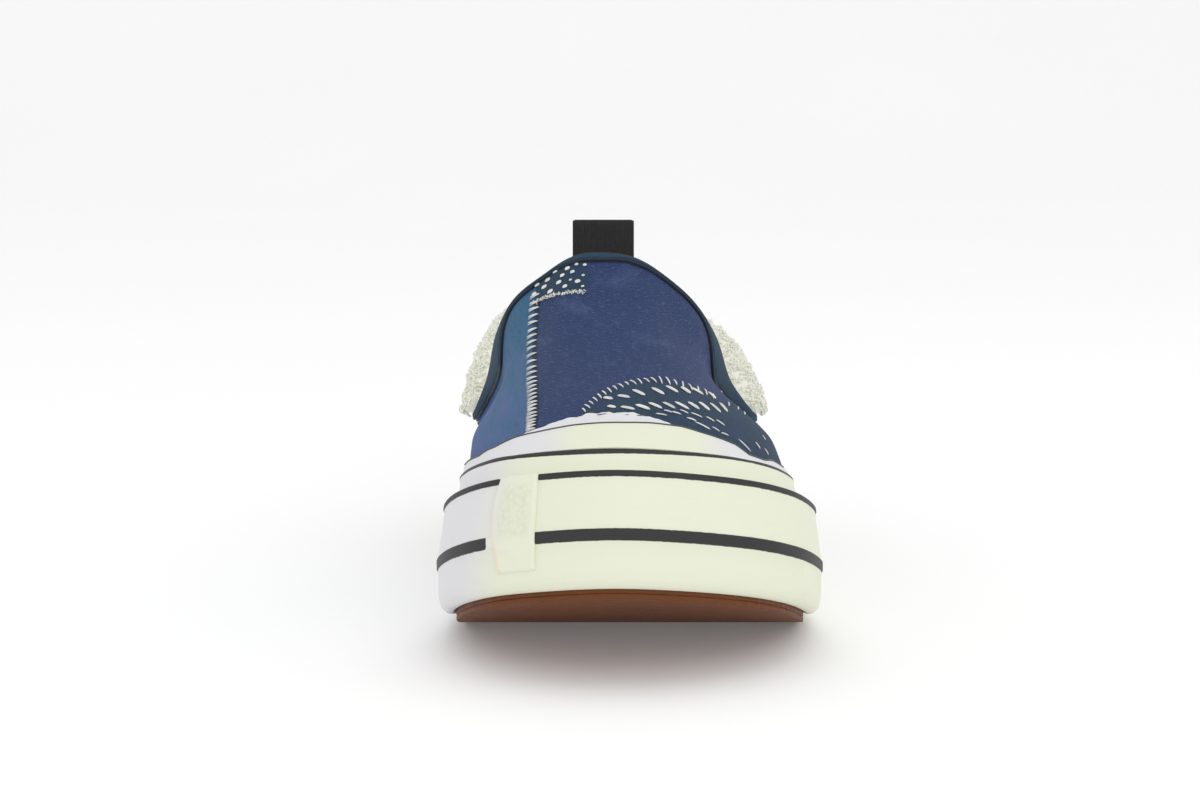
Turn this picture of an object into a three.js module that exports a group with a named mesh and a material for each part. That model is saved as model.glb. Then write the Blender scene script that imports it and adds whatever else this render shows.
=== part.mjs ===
// A left slip-on shoe: gum outsole, thick rubber foxing with two ribs, upper band and toe cap,
// denim upper, bound throat, fleece collar, insole and a webbing pull tab.
// Millimetres, +Z up, toe towards -Y, outer side of the foot towards +X, standing on z = 0.
import * as THREE from "three";

// Driving dimensions
const shoeLength = 292; // foxing, heel to toe tip
const ballWidth = 107; // foxing, across the ball
const throatHeight = 105.2; // floor to the top of the vamp
const toeSpring = 26; // bottom of the toe tip above the floor
const springStart = 0.675; // share of the length where the toe spring begins
const heelSpring = 2; // bottom of the heel's back edge above the floor
const archLift = 1.4; // bottom of the waist above the floor
const fitGap = 0.3; // clearance between pieces that touch

const upperWall = 2.4; // denim, backing and binding tape
const foxingHeight = 33.1; // bottom lip to the ledge
const foxingLip = 2.4; // bottom lip above the outsole's tread
const footbedHeight = 15.5; // top of the sole slab above the tread
const upperInset = 6.8; // foxing face to the foot of the upper
const upperLean = 2; // how far the upper's knee lies inside its foot
const foxingLean = 2.2; // how far the foxing's top leans in, above the lower rib
const outsoleInset = 5; // foxing face to the edge of the outsole
const outsoleThickness = 4.5;
const lowerRib = { height: 14.3, width: 3.2, proud: 0.4 };
const upperRib = { height: 31.2, width: 1.7, proud: 0.4 };
const bandHeight = 8.3; // upper band above the foxing
const bandThickness = 2.2;
const capThickness = 1.5;
const jointPatch = { from: -29.5, width: 11.8, proud: 0.7 }; // across the toe, from the heel line
const bindingThickness = 0.9;
const bindingWidth = { top: 3, side: 5 };
const insoleThickness = 4;
const fleece = { thickness: 7.5, above: 9, below: 13, over: 4.8 }; // over: how far it rolls outwards
const pullTab = { width: 22.4, thickness: 1.3, standUp: 29, drop: 24, gap: 5 };

// Hollow of each side under the throat's edge: depth in mm, and where it starts, is full and ends
const hollow = {
  outer: 8.2,
  inner: 5.6,
  round: [0, 0.19, 0.21, 0.32], // shares of the way round from the toe
  up: [0.5, 0.77, 0.82, 1], // shares of the way up the upper
};

const around = 80; // points round the shoe, a multiple of 20

// One row for each section, toe tip first, at a share of the length from the heel. Widths are shares of the
// ball width, measured from the heel line: M on the inner side, L on the outer side.
// sole: foxing face. rise: height of the upper's knee above its foot, a share of the throat height.
// cap: top of the toe cap, a share of the way up the upper.
const soleRows = [
  { at: 1.0, soleM: 0.028, soleL: 0.028, rise: 0.27, cap: 0.447 },
  { at: 0.965, soleM: -0.24, soleL: 0.31, rise: 0.27, cap: 0.387 },
  { at: 0.9, soleM: -0.372, soleL: 0.476, rise: 0.26, cap: 0.342 },
  { at: 0.8, soleM: -0.432, soleL: 0.56, rise: 0.25, cap: 0.33 },
  { at: 0.68, soleM: -0.432, soleL: 0.582, rise: 0.25, cap: 0.31 },
  { at: 0.55, soleM: -0.378, soleL: 0.535, rise: 0.2, cap: 0.3 },
  { at: 0.42, soleM: -0.325, soleL: 0.455, rise: 0.16, cap: 0.3 },
  { at: 0.28, soleM: -0.322, soleL: 0.39, rise: 0.2, cap: 0.3 },
  { at: 0.15, soleM: -0.342, soleL: 0.357, rise: 0.2, cap: 0.3 },
  { at: 0.045, soleM: -0.237, soleL: 0.24, rise: 0.2, cap: 0.3 },
  { at: 0.0, soleM: 0.0, soleL: 0.0, rise: 0.2, cap: 0.3 },
];
// The upper's shoulder handle at the same sections. Z: height, a share of the throat height.
const shoulderRows = [
  { shoulderM: 0.01, shoulderL: 0.01, shoulderAt: 0.736, shoulderZM: 0.7, shoulderZL: 0.7 },
  { shoulderM: -0.15, shoulderL: 0.17, shoulderAt: 0.73, shoulderZM: 0.68, shoulderZL: 0.68 },
  { shoulderM: -0.27, shoulderL: 0.31, shoulderAt: 0.71, shoulderZM: 0.64, shoulderZL: 0.63 },
  { shoulderM: -0.355, shoulderL: 0.41, shoulderAt: 0.665, shoulderZM: 0.61, shoulderZL: 0.6 },
  { shoulderM: -0.372, shoulderL: 0.422, shoulderAt: 0.6, shoulderZM: 0.58, shoulderZL: 0.56 },
  { shoulderM: -0.36, shoulderL: 0.43, shoulderAt: 0.52, shoulderZM: 0.5, shoulderZL: 0.48 },
  { shoulderM: -0.378, shoulderL: 0.465, shoulderAt: 0.43, shoulderZM: 0.4, shoulderZL: 0.4 },
  { shoulderM: -0.375, shoulderL: 0.425, shoulderAt: 0.285, shoulderZM: 0.46, shoulderZL: 0.46 },
  { shoulderM: -0.35, shoulderL: 0.365, shoulderAt: 0.15, shoulderZM: 0.54, shoulderZL: 0.54 },
  { shoulderM: -0.235, shoulderL: 0.24, shoulderAt: 0.043, shoulderZM: 0.56, shoulderZL: 0.56 },
  { shoulderM: 0.0, shoulderL: 0.0, shoulderAt: 0.004, shoulderZM: 0.57, shoulderZL: 0.57 },
];
// The edge of the opening at the same sections.
const edgeRows = [
  { edgeM: -0.004, edgeL: -0.004, edgeAt: 0.562, edgeZM: 1.0, edgeZL: 1.0 },
  { edgeM: -0.083, edgeL: 0.083, edgeAt: 0.561, edgeZM: 0.99, edgeZL: 0.986 },
  { edgeM: -0.163, edgeL: 0.167, edgeAt: 0.557, edgeZM: 0.938, edgeZL: 0.933 },
  { edgeM: -0.246, edgeL: 0.25, edgeAt: 0.549, edgeZM: 0.868, edgeZL: 0.855 },
  { edgeM: -0.297, edgeL: 0.311, edgeAt: 0.53, edgeZM: 0.77, edgeZL: 0.755 },
  { edgeM: -0.331, edgeL: 0.362, edgeAt: 0.488, edgeZM: 0.625, edgeZL: 0.61 },
  { edgeM: -0.382, edgeL: 0.447, edgeAt: 0.435, edgeZM: 0.5, edgeZL: 0.495 },
  { edgeM: -0.35, edgeL: 0.396, edgeAt: 0.29, edgeZM: 0.6, edgeZL: 0.59 },
  { edgeM: -0.3, edgeL: 0.305, edgeAt: 0.15, edgeZM: 0.675, edgeZL: 0.66 },
  { edgeM: -0.19, edgeL: 0.195, edgeAt: 0.052, edgeZM: 0.72, edgeZL: 0.72 },
  { edgeM: 0.0, edgeL: 0.0, edgeAt: 0.022, edgeZM: 0.736, edgeZL: 0.736 },
];
const crownShare = 0.32; // how far the crown handle lies from the knee to the shoulder

// The rows as one closed ring: toe tip, outer side, heel, inner side. Each column is a closed smooth curve.
const sections = soleRows.map((row, i) => ({ ...row, ...shoulderRows[i], ...edgeRows[i] }));
const last = sections.length - 1;
const ringRows = [
  ...sections.map((row) => ({ row, side: "L" })),
  ...sections.slice(1, last).reverse().map((row) => ({ row, side: "M" })),
];
const columnOf = (row, side, name) => row[name] ?? row[name + side];
const smooth = (before, from, to, after, t) => {
  const a = (to - before) / 2;
  const b = (after - from) / 2;
  return from + t * (a + t * (3 * (to - from) - 2 * a - b + t * (2 * (from - to) + a + b)));
};
// Value of a named column at u, the share of the way round the shoe.
function column(name, u) {
  const count = ringRows.length;
  const place = (((u % 1) + 1) % 1) * count;
  const k = Math.floor(place);
  const value = (i) => {
    const { row, side } = ringRows[(i + count) % count];
    return columnOf(row, side, name);
  };
  return smooth(value(k - 1), value(k), value(k + 1), value(k + 2), place - k);
}

// Underside of the shoe above the floor, at a share of the length from the heel.
function soleRise(at) {
  const toe = Math.max(0, (at - springStart) / (1 - springStart));
  const heel = Math.max(0, (0.1 - at) / 0.1);
  const arch = at > 0.32 && at < 0.6 ? Math.sin((Math.PI * (at - 0.32)) / 0.28) ** 2 : 0;
  return toeSpring * toe ** 1.3 + heelSpring * heel ** 2 + archLift * arch;
}

const fromHeel = (at) => shoeLength * (0.5 - at); // y of a share of the length
const shareAt = (y) => 0.5 - y / shoeLength;

// Foxing face at u, moved inwards by inset.
function outline(u, inset = 0) {
  const at = (w) => new THREE.Vector2(column("sole", w) * ballWidth, fromHeel(column("at", w)));
  const here = at(u);
  const step = 0.004;
  const run = at(u + step).sub(at(u - step)).normalize();
  return here.add(new THREE.Vector2(-run.y, run.x).multiplyScalar(inset));
}

// Point of the sole at u, inset from the face and raised above the underside.
function solePoint(u, inset, height) {
  const p = outline(u, inset);
  return new THREE.Vector3(p.x, p.y, soleRise(shareAt(p.y)) + height);
}

// Line of the upper's outer face at u: foot, knee, crown, shoulder, edge.
function upperHandles(u) {
  const footHeight = footbedHeight + fitGap;
  const foot = solePoint(u, upperInset, footHeight);
  const knee = solePoint(u, upperInset + upperLean, footHeight + column("rise", u) * throatHeight);
  const handle = (name) =>
    new THREE.Vector3(
      column(name, u) * ballWidth,
      fromHeel(column(name + "At", u)),
      column(name + "Z", u) * throatHeight,
    );
  const shoulder = handle("shoulder");
  const crown = knee.clone().lerp(shoulder, crownShare);
  return [foot, knee, crown, shoulder, handle("edge")];
}
// Rises from the first mark to the second and falls from the third to the fourth
function swell(x, [start, full, fade, end]) {
  return THREE.MathUtils.smoothstep(x, start, full) * (1 - THREE.MathUtils.smoothstep(x, fade, end));
}
function onUpper(u, v) {
  let points = upperHandles(u);
  while (points.length > 1) {
    points = points.slice(1).map((p, i) => points[i].clone().lerp(p, v));
  }
  const [p] = points;
  const turn = ((u % 1) + 1) % 1;
  const depth = turn < 0.5 ? hollow.outer : -hollow.inner;
  p.x -= depth * swell(Math.min(turn, 1 - turn), hollow.round) * swell(v, hollow.up);
  return p;
}
// Point of the upper, moved out along its normal.
function upperPoint(u, v, out = 0) {
  const p = onUpper(u, v);
  if (!out) return p;
  const du = 0.004;
  const dv = 0.004;
  const alongU = onUpper(u + du, v).sub(onUpper(u - du, v));
  const alongV = onUpper(u, Math.min(1, v + dv)).sub(onUpper(u, Math.max(0, v - dv)));
  return p.addScaledVector(alongU.cross(alongV).normalize(), out);
}

// How far up the upper's line at u a height above the underside lies.
function upperShare(u, height) {
  let low = 0;
  let high = 1;
  for (let i = 0; i < 24; i++) {
    const mid = (low + high) / 2;
    const p = onUpper(u, mid);
    if (p.z - soleRise(shareAt(p.y)) < height) low = mid;
    else high = mid;
  }
  return low;
}

// Point at this height above the underside, out from the upper's face.
function besideUpper(u, height, out) {
  const p = upperPoint(u, upperShare(u, height), out);
  p.z = soleRise(shareAt(p.y)) + height;
  return p;
}

// Share of the way round, on the inner or outer side of the toe, where a line of the sole has this x.
function ringShareAtX(x, from, to) {
  let low = from;
  let high = to;
  const rising = outline(to).x > outline(from).x;
  for (let i = 0; i < 30; i++) {
    const mid = (low + high) / 2;
    if (outline(mid).x < x === rising) low = mid;
    else high = mid;
  }
  return low;
}

// Meshes are built from grids of points. A quad is two triangles over four corners.
function meshFrom(name, material, points, quads) {
  const corners = [];
  for (const [a, b, c, d] of quads) {
    corners.push(a, b, c);
    if (d !== undefined) corners.push(a, c, d);
  }
  const side = (a, b, c) => points[a].dot(points[b].clone().cross(points[c]));
  let volume = 0;
  for (let i = 0; i < corners.length; i += 3) volume += side(corners[i], corners[i + 1], corners[i + 2]);
  if (volume < 0) corners.reverse();
  const geometry = new THREE.BufferGeometry().setFromPoints(points).setIndex(corners);
  geometry.computeVertexNormals();
  const mesh = new THREE.Mesh(geometry, material);
  mesh.name = name;
  return mesh;
}

// A wall between two faces, each a grid of points: rows along the wall, the same count of points in each.
// A closed wall joins its last row to its first.
function wall(name, material, front, back, closed) {
  const rows = front.length;
  const across = front[0].length;
  const points = [...front.flat(), ...back.flat()];
  const f = (i, j) => (i % rows) * across + j;
  const b = (i, j) => rows * across + f(i, j);
  const quads = [];
  const spans = closed ? rows : rows - 1;
  for (let i = 0; i < spans; i++) {
    for (let j = 0; j < across - 1; j++) {
      quads.push([f(i, j), f(i + 1, j), f(i + 1, j + 1), f(i, j + 1)]);
      quads.push([b(i, j), b(i, j + 1), b(i + 1, j + 1), b(i + 1, j)]);
    }
    const top = across - 1;
    quads.push([f(i, 0), b(i, 0), b(i + 1, 0), f(i + 1, 0)]);
    quads.push([f(i, top), f(i + 1, top), b(i + 1, top), b(i, top)]);
  }
  if (!closed) {
    for (let j = 0; j < across - 1; j++) {
      const end = rows - 1;
      quads.push([f(0, j), f(0, j + 1), b(0, j + 1), b(0, j)]);
      quads.push([f(end, j), b(end, j), b(end, j + 1), f(end, j + 1)]);
    }
  }
  return meshFrom(name, material, points, quads);
}

// A slab made of rings stacked from its underside to its top, each ring closed across at the two ends.
function slab(name, material, rings) {
  const count = rings[0].length;
  const half = count / 2;
  const points = rings.flat();
  const at = (k, i) => k * count + (i % count);
  const quads = [];
  for (let k = 0; k < rings.length - 1; k++) {
    for (let i = 0; i < count; i++) {
      quads.push([at(k, i), at(k, i + 1), at(k + 1, i + 1), at(k + 1, i)]);
    }
  }
  const cover = (k, turn) => {
    for (let i = 0; i < half; i++) {
      const corners = [at(k, i), at(k, i + 1), at(k, count - i - 1), at(k, count - i)];
      const kept = corners.filter((c, n) => corners.indexOf(c) === n);
      quads.push(turn ? kept.reverse() : kept);
    }
  };
  cover(0, true);
  cover(rings.length - 1, false);
  return meshFrom(name, material, points, quads);
}

const ringShares = Array.from({ length: around }, (_, i) => i / around);
const ring = (point) => ringShares.map(point);
const ringSpan = (from, to) => {
  const first = Math.round(from * around);
  return Array.from({ length: Math.round(to * around) - first + 1 }, (_, i) => (first + i) / around);
};
const sharesBetween = (from, to, count) =>
  Array.from({ length: count + 1 }, (_, i) => from + ((to - from) * i) / count);

const material = (color, roughness) => new THREE.MeshStandardMaterial({ color, roughness, metalness: 0 });
const gum = material(0x7a4a22, 0.75);
const whiteRubber = material(0xe9ebd8, 0.6);
const denim = material(0x35466f, 0.95);
const darkDenim = material(0x2b4257, 0.95);
const pile = material(0xeae6d2, 1);
const webbing = material(0x262626, 0.8);

const shoe = new THREE.Group();

// Gum outsole
function makeOutsole() {
  const edge = 1.2;
  return slab("outsole", gum, [
    ring((u) => solePoint(u, outsoleInset + edge, 0)),
    ring((u) => solePoint(u, outsoleInset, edge)),
    ring((u) => solePoint(u, outsoleInset, outsoleThickness)),
  ]);
}

// Inset of the foxing's face at a height: upright up to the lower rib's top, leaning in above it
function foxingFace(height) {
  const from = lowerRib.height + lowerRib.width;
  return foxingLean * Math.max(0, (height - from) / (foxingHeight - from));
}

// Foxing and sole slab in one: a cup whose side carries the two ribs, which stop at the joint patch
const patchStart = ringShareAtX(jointPatch.from, 0.92, 1);
const patchEnd = ringShareAtX(jointPatch.from + jointPatch.width, 0.92, 1);
const underPatch = (u) => u > patchStart - 0.006 && u < patchEnd + 0.006;
function makeFoxing() {
  const rib = ({ height, width, proud }) =>
    [
      [0, 0],
      [proud, proud],
      [proud, width - proud],
      [0, width],
    ].map(([out, up]) => [foxingFace(height + up) - out, height + up]);
  const side = [
    [outsoleInset - fitGap, outsoleThickness + fitGap],
    [outsoleInset - fitGap, foxingLip],
    [2.6, foxingLip],
    [0.7, foxingLip + 1.9],
    [0, foxingLip + 5],
    ...rib(lowerRib),
    ...rib(upperRib),
    [foxingLean + 1.4, foxingHeight],
  ];
  const rings = side.map(([inset, height]) =>
    ring((u) => solePoint(u, underPatch(u) ? Math.max(inset, foxingFace(height)) : inset, height)),
  );
  for (const part of [1, 0.67, 0.33, 0]) {
    rings.push(ring((u) => upperPoint(u, part * upperShare(u, foxingHeight), fitGap)));
  }
  for (const p of rings.at(-1)) p.z -= fitGap;
  return slab("foxing", whiteRubber, rings);
}

// Upper: one hollow wall from its foot to the opening
function makeUpper() {
  const straight = 7; // even steps up to the hollow, then closer ones up to the edge
  const shares = [...sharesBetween(0, straight / 9, straight).slice(1), 0.87, 0.94, 1];
  const face = (out) =>
    ringShares.map((u) => [
      besideUpper(u, footbedHeight + fitGap, out),
      ...shares.map((v) => upperPoint(u, v, out)),
    ]);
  return wall("upper", denim, face(0), face(-upperWall), true);
}

// Band that lies on the foxing's ledge and round the upper
const bandTop = foxingHeight + bandHeight;
function makeBand() {
  const heights = [foxingHeight + fitGap, foxingHeight + bandHeight * 0.45, bandTop - 1, bandTop];
  const outs = [bandThickness, bandThickness, bandThickness, bandThickness * 0.6];
  const face = (outAt) => ringShares.map((u) => heights.map((h, k) => besideUpper(u, h, fitGap + outAt(k))));
  return wall("upper_band", whiteRubber, face((k) => outs[k]), face(() => 0), true);
}

// Toe cap: from the band up to a line across the toe
const capReach = 0.2125; // share of the way round, to each side
function makeToeCap() {
  const across = 4;
  const rows = ringSpan(-capReach, capReach);
  const face = (thick) =>
    rows.map((u) => {
      const from = upperShare(u, bandTop + fitGap * 2);
      const to = Math.max(column("cap", u), from + 0.03);
      return sharesBetween(from, to, across).map((v, k) =>
        upperPoint(u, v, fitGap + thick * (k === across ? 0.5 : 1)),
      );
    });
  return wall("toe_cap", whiteRubber, face(capThickness), face(0), false);
}

// Patch over the foxing's joint
function makeJointPatch() {
  const top = upperRib.height + upperRib.width - upperRib.proud;
  const heights = [foxingLip + 5, lowerRib.height + lowerRib.width, 24, top];
  const rows = sharesBetween(patchStart, patchEnd, 4);
  const face = (out) => rows.map((u) => heights.map((h) => solePoint(u, foxingFace(h) - out, h)));
  return wall("joint_patch", whiteRubber, face(fitGap + jointPatch.proud), face(fitGap), false);
}

// Points round the edge of the opening at u: so far out from the upper's face and so far up from its edge.
// Below the edge they follow the face.
function edgeFrame(u) {
  const edge = onUpper(u, 1);
  const up = edge.clone().sub(onUpper(u, 0.985)).normalize();
  const out = upperPoint(u, 1, 1).sub(edge).normalize();
  const shareBelow = (drop) => {
    let low = 0.3;
    let high = 1;
    for (let i = 0; i < 20; i++) {
      const mid = (low + high) / 2;
      if (onUpper(u, mid).distanceTo(edge) > drop) low = mid;
      else high = mid;
    }
    return high;
  };
  return (o, h) =>
    h < 0 ? upperPoint(u, shareBelow(-h), o) : edge.clone().addScaledVector(out, o).addScaledVector(up, h);
}

// Binding folded over the throat, from low point to low point
const lowPoint = 6 / (2 * last);
function makeBinding() {
  const rows = ringSpan(-lowPoint + 1 / around, lowPoint - 1 / around);
  const widthAt = (u) => bindingWidth.top + (bindingWidth.side - bindingWidth.top) * Math.abs(u / lowPoint);
  const inside = -upperWall - 1.7 * fitGap;
  const profile = (u, thick) => {
    const at = edgeFrame(u);
    const w = widthAt(u);
    return [
      at(fitGap + thick, -w),
      at(fitGap + thick, -w / 2),
      at(fitGap + thick, 0),
      at(-upperWall / 2, fitGap + thick * 1.4),
      at(inside - thick, 0),
      at(inside - thick, -w / 2),
      at(inside - thick, -w),
    ];
  };
  const front = rows.map((u) => profile(u, bindingThickness));
  const back = rows.map((u) => profile(u, 0));
  return wall("throat_binding", darkDenim, front, back, false);
}

// Fleece collar: rolls over the edge from low point to low point, round the heel. It stays inside the tab.
const tabHalf = pullTab.width / 2 + 1;
function makeFleece() {
  const rows = ringSpan(lowPoint, 1 - lowPoint);
  const steps = rows.length - 1;
  const inside = -upperWall - fitGap;
  const grids = rows.map((u, i) => {
    const at = edgeFrame(u);
    const end = Math.min(1, Math.min(i, steps - i) / 4);
    const size = 0.35 + 0.65 * Math.sqrt(end);
    const besideTab = Math.min(1, Math.max(0, (Math.abs(at(0, 0).x) - tabHalf) / 5));
    const overhang = u > 0.4 && u < 0.6 ? besideTab : 1;
    const lump = 1 + 0.07 * Math.sin(i * 1.9) + 0.05 * Math.sin(i * 3.1 + 1);
    const thick = fleece.thickness * size * lump;
    const above = fleece.above * size * lump;
    const below = fleece.below * size;
    const flap = inside + (fleece.over * size - inside) * overhang;
    return {
      near: [
        at(inside, -below),
        at(inside, -below / 2),
        at(inside, 0.5),
        at((inside + flap) / 2, 0.5),
        at(flap - 0.6 * overhang, 0.7),
      ],
      far: [
        at(inside - thick * 0.35, -below - 1),
        at(inside - thick, -below / 2),
        at(inside - thick * 0.95, above * 0.35),
        at(inside - thick * 0.3, above),
        at(flap + 0.2, above * 0.62),
      ],
    };
  });
  return wall("fleece_collar", pile, grids.map((g) => g.far), grids.map((g) => g.near), false);
}

// Insole lying on the sole slab inside the upper
function makeInsole() {
  const inset = upperInset + upperWall + fitGap + 0.3;
  const bottom = footbedHeight + fitGap;
  return slab("insole", pile, [
    ring((u) => solePoint(u, inset, bottom)),
    ring((u) => solePoint(u, inset, bottom + insoleThickness * 0.7)),
    ring((u) => solePoint(u, inset + 1.2, bottom + insoleThickness)),
  ]);
}

// Pull tab: a strip sewn down the heel that loops up over the collar and comes back to the edge
function makePullTab() {
  const columns = 6;
  const shares = sharesBetween(
    ringShareAtX(pullTab.width / 2, 0.35, 0.5),
    ringShareAtX(-pullTab.width / 2, 0.5, 0.65),
    columns,
  );
  const heel = onUpper(0.5, 1);
  const { thickness, standUp, drop, gap } = pullTab;
  const loop = [
    [0, 0],
    [0.6 * gap, 0.35],
    [0.62 * gap, 0.8],
    [0.35 * gap, 0.96],
    [0, 1],
    [-0.2 * gap, 0.93],
    [-0.25 * gap, 0.75],
    [-0.2 * gap, 0.35],
    [-0.1 * gap, 0.02],
  ];
  const outside = fitGap + thickness;
  const grid = shares.map((u, i) => {
    const base = onUpper(u, 1);
    const x = pullTab.width * (0.5 - i / columns);
    const front = [];
    const back = [];
    for (const fall of [1, 0.66, 0.33, 0.08]) {
      const p = base.clone();
      const share = upperShare(u, base.z - fall * drop - soleRise(shareAt(base.y)));
      front.push(upperPoint(u, share, outside));
      back.push(upperPoint(u, share, fitGap));
    }
    loop.forEach(([out, up], k) => {
      const curve = (base.y - heel.y) * Math.max(0, 1 - 1.6 * up);
      const before = loop[Math.max(0, k - 1)];
      const after = loop[Math.min(loop.length - 1, k + 1)];
      const run = new THREE.Vector2(after[0] - before[0], (after[1] - before[1]) * standUp).normalize();
      const y = heel.y + curve + fitGap + out;
      const z = heel.z + 0.6 + up * (standUp - 0.6);
      front.push(new THREE.Vector3(x, y + run.y * thickness, z - run.x * thickness));
      back.push(new THREE.Vector3(x, y, z));
    });
    for (const list of [front, back]) for (const p of list) p.x = x;
    return { front, back };
  });
  return wall("pull_tab", webbing, grid.map((g) => g.front), grid.map((g) => g.back), false);
}

shoe.add(
  makeOutsole(),
  makeFoxing(),
  makeUpper(),
  makeBand(),
  makeToeCap(),
  makeJointPatch(),
  makeBinding(),
  makeFleece(),
  makeInsole(),
  makePullTab(),
);

// The heel line is moved aside so that the origin lies under the middle of the shoe.
const span = new THREE.Box3().setFromObject(shoe);
shoe.position.set(-(span.min.x + span.max.x) / 2, -(span.min.y + span.max.y) / 2, -span.min.z);

export default shoe;
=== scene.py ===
import math

import bpy
import numpy as np
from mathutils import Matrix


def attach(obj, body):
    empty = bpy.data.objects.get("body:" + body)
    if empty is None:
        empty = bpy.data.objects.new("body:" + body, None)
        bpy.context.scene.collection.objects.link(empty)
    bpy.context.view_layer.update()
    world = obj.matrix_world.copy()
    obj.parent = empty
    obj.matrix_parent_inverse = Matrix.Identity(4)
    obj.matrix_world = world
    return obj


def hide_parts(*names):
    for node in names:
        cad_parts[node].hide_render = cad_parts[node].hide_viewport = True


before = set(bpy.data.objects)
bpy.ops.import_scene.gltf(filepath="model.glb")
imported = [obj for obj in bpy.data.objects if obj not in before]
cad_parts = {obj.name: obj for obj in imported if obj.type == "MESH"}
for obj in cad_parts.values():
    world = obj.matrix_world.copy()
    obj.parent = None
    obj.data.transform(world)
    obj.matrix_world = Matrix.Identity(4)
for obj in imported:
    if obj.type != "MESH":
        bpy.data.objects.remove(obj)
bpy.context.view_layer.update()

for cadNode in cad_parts:
    print("frame node", cadNode)

# Shapes are worked out in millimetres from the heel line: +Z up, the toe towards -Y, the outer side
# towards +X.
shoe = {
    "length": 292.0,
    "ballWidth": 107.0,
    "throatHeight": 105.2,
    "toeSpring": 26.0,
    "springStart": 0.675,
    "heelSpring": 2.0,
    "archLift": 1.4,
    "gap": 0.3,
    "upperWall": 2.4,
    "upperInset": 6.8,
    "upperLean": 2.0,
    "crownShare": 0.32,
    "footbed": 15.5,
}

# One entry for each section, toe tip first. Widths are shares of the ball width, M on the inner side and
# L on the outer side. Heights are shares of the throat height, places along the shoe of its length.
sections = {
    "at": [1.0, 0.965, 0.9, 0.8, 0.68, 0.55, 0.42, 0.28, 0.15, 0.045, 0.0],
    "soleM": [0.028, -0.24, -0.372, -0.432, -0.432, -0.378, -0.325, -0.322, -0.342, -0.237, 0.0],
    "soleL": [0.028, 0.31, 0.476, 0.56, 0.582, 0.535, 0.455, 0.39, 0.357, 0.24, 0.0],
    "rise": [0.27, 0.27, 0.26, 0.25, 0.25, 0.2, 0.16, 0.2, 0.2, 0.2, 0.2],
    "cap": [0.447, 0.387, 0.342, 0.33, 0.31, 0.3, 0.3, 0.3, 0.3, 0.3, 0.3],
    "shoulderM": [0.01, -0.15, -0.27, -0.355, -0.372, -0.36, -0.378, -0.375, -0.35, -0.235, 0.0],
    "shoulderL": [0.01, 0.17, 0.31, 0.41, 0.422, 0.43, 0.465, 0.425, 0.365, 0.24, 0.0],
    "shoulderAt": [0.736, 0.73, 0.71, 0.665, 0.6, 0.52, 0.43, 0.285, 0.15, 0.043, 0.004],
    "shoulderZM": [0.7, 0.68, 0.64, 0.61, 0.58, 0.5, 0.4, 0.46, 0.54, 0.56, 0.57],
    "shoulderZL": [0.7, 0.68, 0.63, 0.6, 0.56, 0.48, 0.4, 0.46, 0.54, 0.56, 0.57],
    "edgeM": [-0.004, -0.083, -0.163, -0.246, -0.297, -0.331, -0.382, -0.35, -0.3, -0.19, 0.0],
    "edgeL": [-0.004, 0.083, 0.167, 0.25, 0.311, 0.362, 0.447, 0.396, 0.305, 0.195, 0.0],
    "edgeAt": [0.562, 0.561, 0.557, 0.549, 0.53, 0.488, 0.435, 0.29, 0.15, 0.052, 0.022],
    "edgeZM": [1.0, 0.99, 0.938, 0.868, 0.77, 0.625, 0.5, 0.6, 0.675, 0.72, 0.736],
    "edgeZL": [1.0, 0.986, 0.933, 0.855, 0.755, 0.61, 0.495, 0.59, 0.66, 0.72, 0.736],
}


# Cubic from here to there at t, with slopes of half the step between the neighbours of each end.
def cubic(before, here, there, after, t):
    a, b = (there - before) / 2, (after - here) / 2
    return here + t * (a + t * (3 * (there - here) - 2 * a - b + t * (2 * (here - there) + a + b)))


# Vectors divided by their lengths.
def unit(vectors):
    return vectors / np.linalg.norm(vectors, axis=-1, keepdims=True)


# One column as a closed smooth curve round the shoe: a cubic between each two rows.
def column(name, u):
    outer = sections.get(name, sections.get(name + "L"))
    inner = sections.get(name, sections.get(name + "M"))
    ring = np.array(outer + inner[-2:0:-1])
    along = np.mod(u, 1.0) * len(ring)
    k = np.floor(along).astype(int)
    t = along - k
    return cubic(*(ring[(k + step) % len(ring)] for step in (-1, 0, 1, 2)), t)


# Underside above the floor: a power of the share past the spring's start, a square at the heel's end and a
# squared sine over the arch.
def rise(y):
    at = 0.5 - y / shoe["length"]
    toe = np.clip((at - shoe["springStart"]) / (1 - shoe["springStart"]), 0, None)
    heel = np.clip((0.1 - at) / 0.1, 0, None)
    arch = np.sin(np.pi * np.clip((at - 0.32) / 0.28, 0, 1)) ** 2
    return shoe["toeSpring"] * toe ** 1.3 + shoe["heelSpring"] * heel ** 2 + shoe["archLift"] * arch


nudge = 0.004  # step of u and v over which slopes are measured


# Foxing face in plan, moved inwards square to itself: the chord over two steps is its direction.
def outline(u, inset):
    def face(w):
        return column("sole", w) * shoe["ballWidth"], shoe["length"] * (0.5 - column("at", w))
    x, y = face(u)
    (x0, y0), (x1, y1) = face(u - nudge), face(u + nudge)
    dx, dy = x1 - x0, y1 - y0
    size = np.hypot(dx, dy)
    return x - inset * dy / size, y + inset * dx / size


# Point of the sole: inset from the face and raised above the underside.
def solePoint(u, inset, height):
    u, inset, height = np.broadcast_arrays(u, inset, height)
    x, y = outline(u, inset)
    return np.stack([x, y, rise(y) + height], axis=-1)


# From 0 to 1 between start and end, level at both: 3 t squared less 2 t cubed.
def smoothStep(x, start, end):
    t = np.clip((x - start) / (end - start), 0, 1)
    return t * t * (3 - 2 * t)


# Hollow of each side under the throat's edge: depth, and where it starts, is full, fades and ends
hollow = {"outer": 8.2, "inner": 5.6, "round": (0, 0.19, 0.21, 0.32), "up": (0.5, 0.77, 0.82, 1)}


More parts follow.
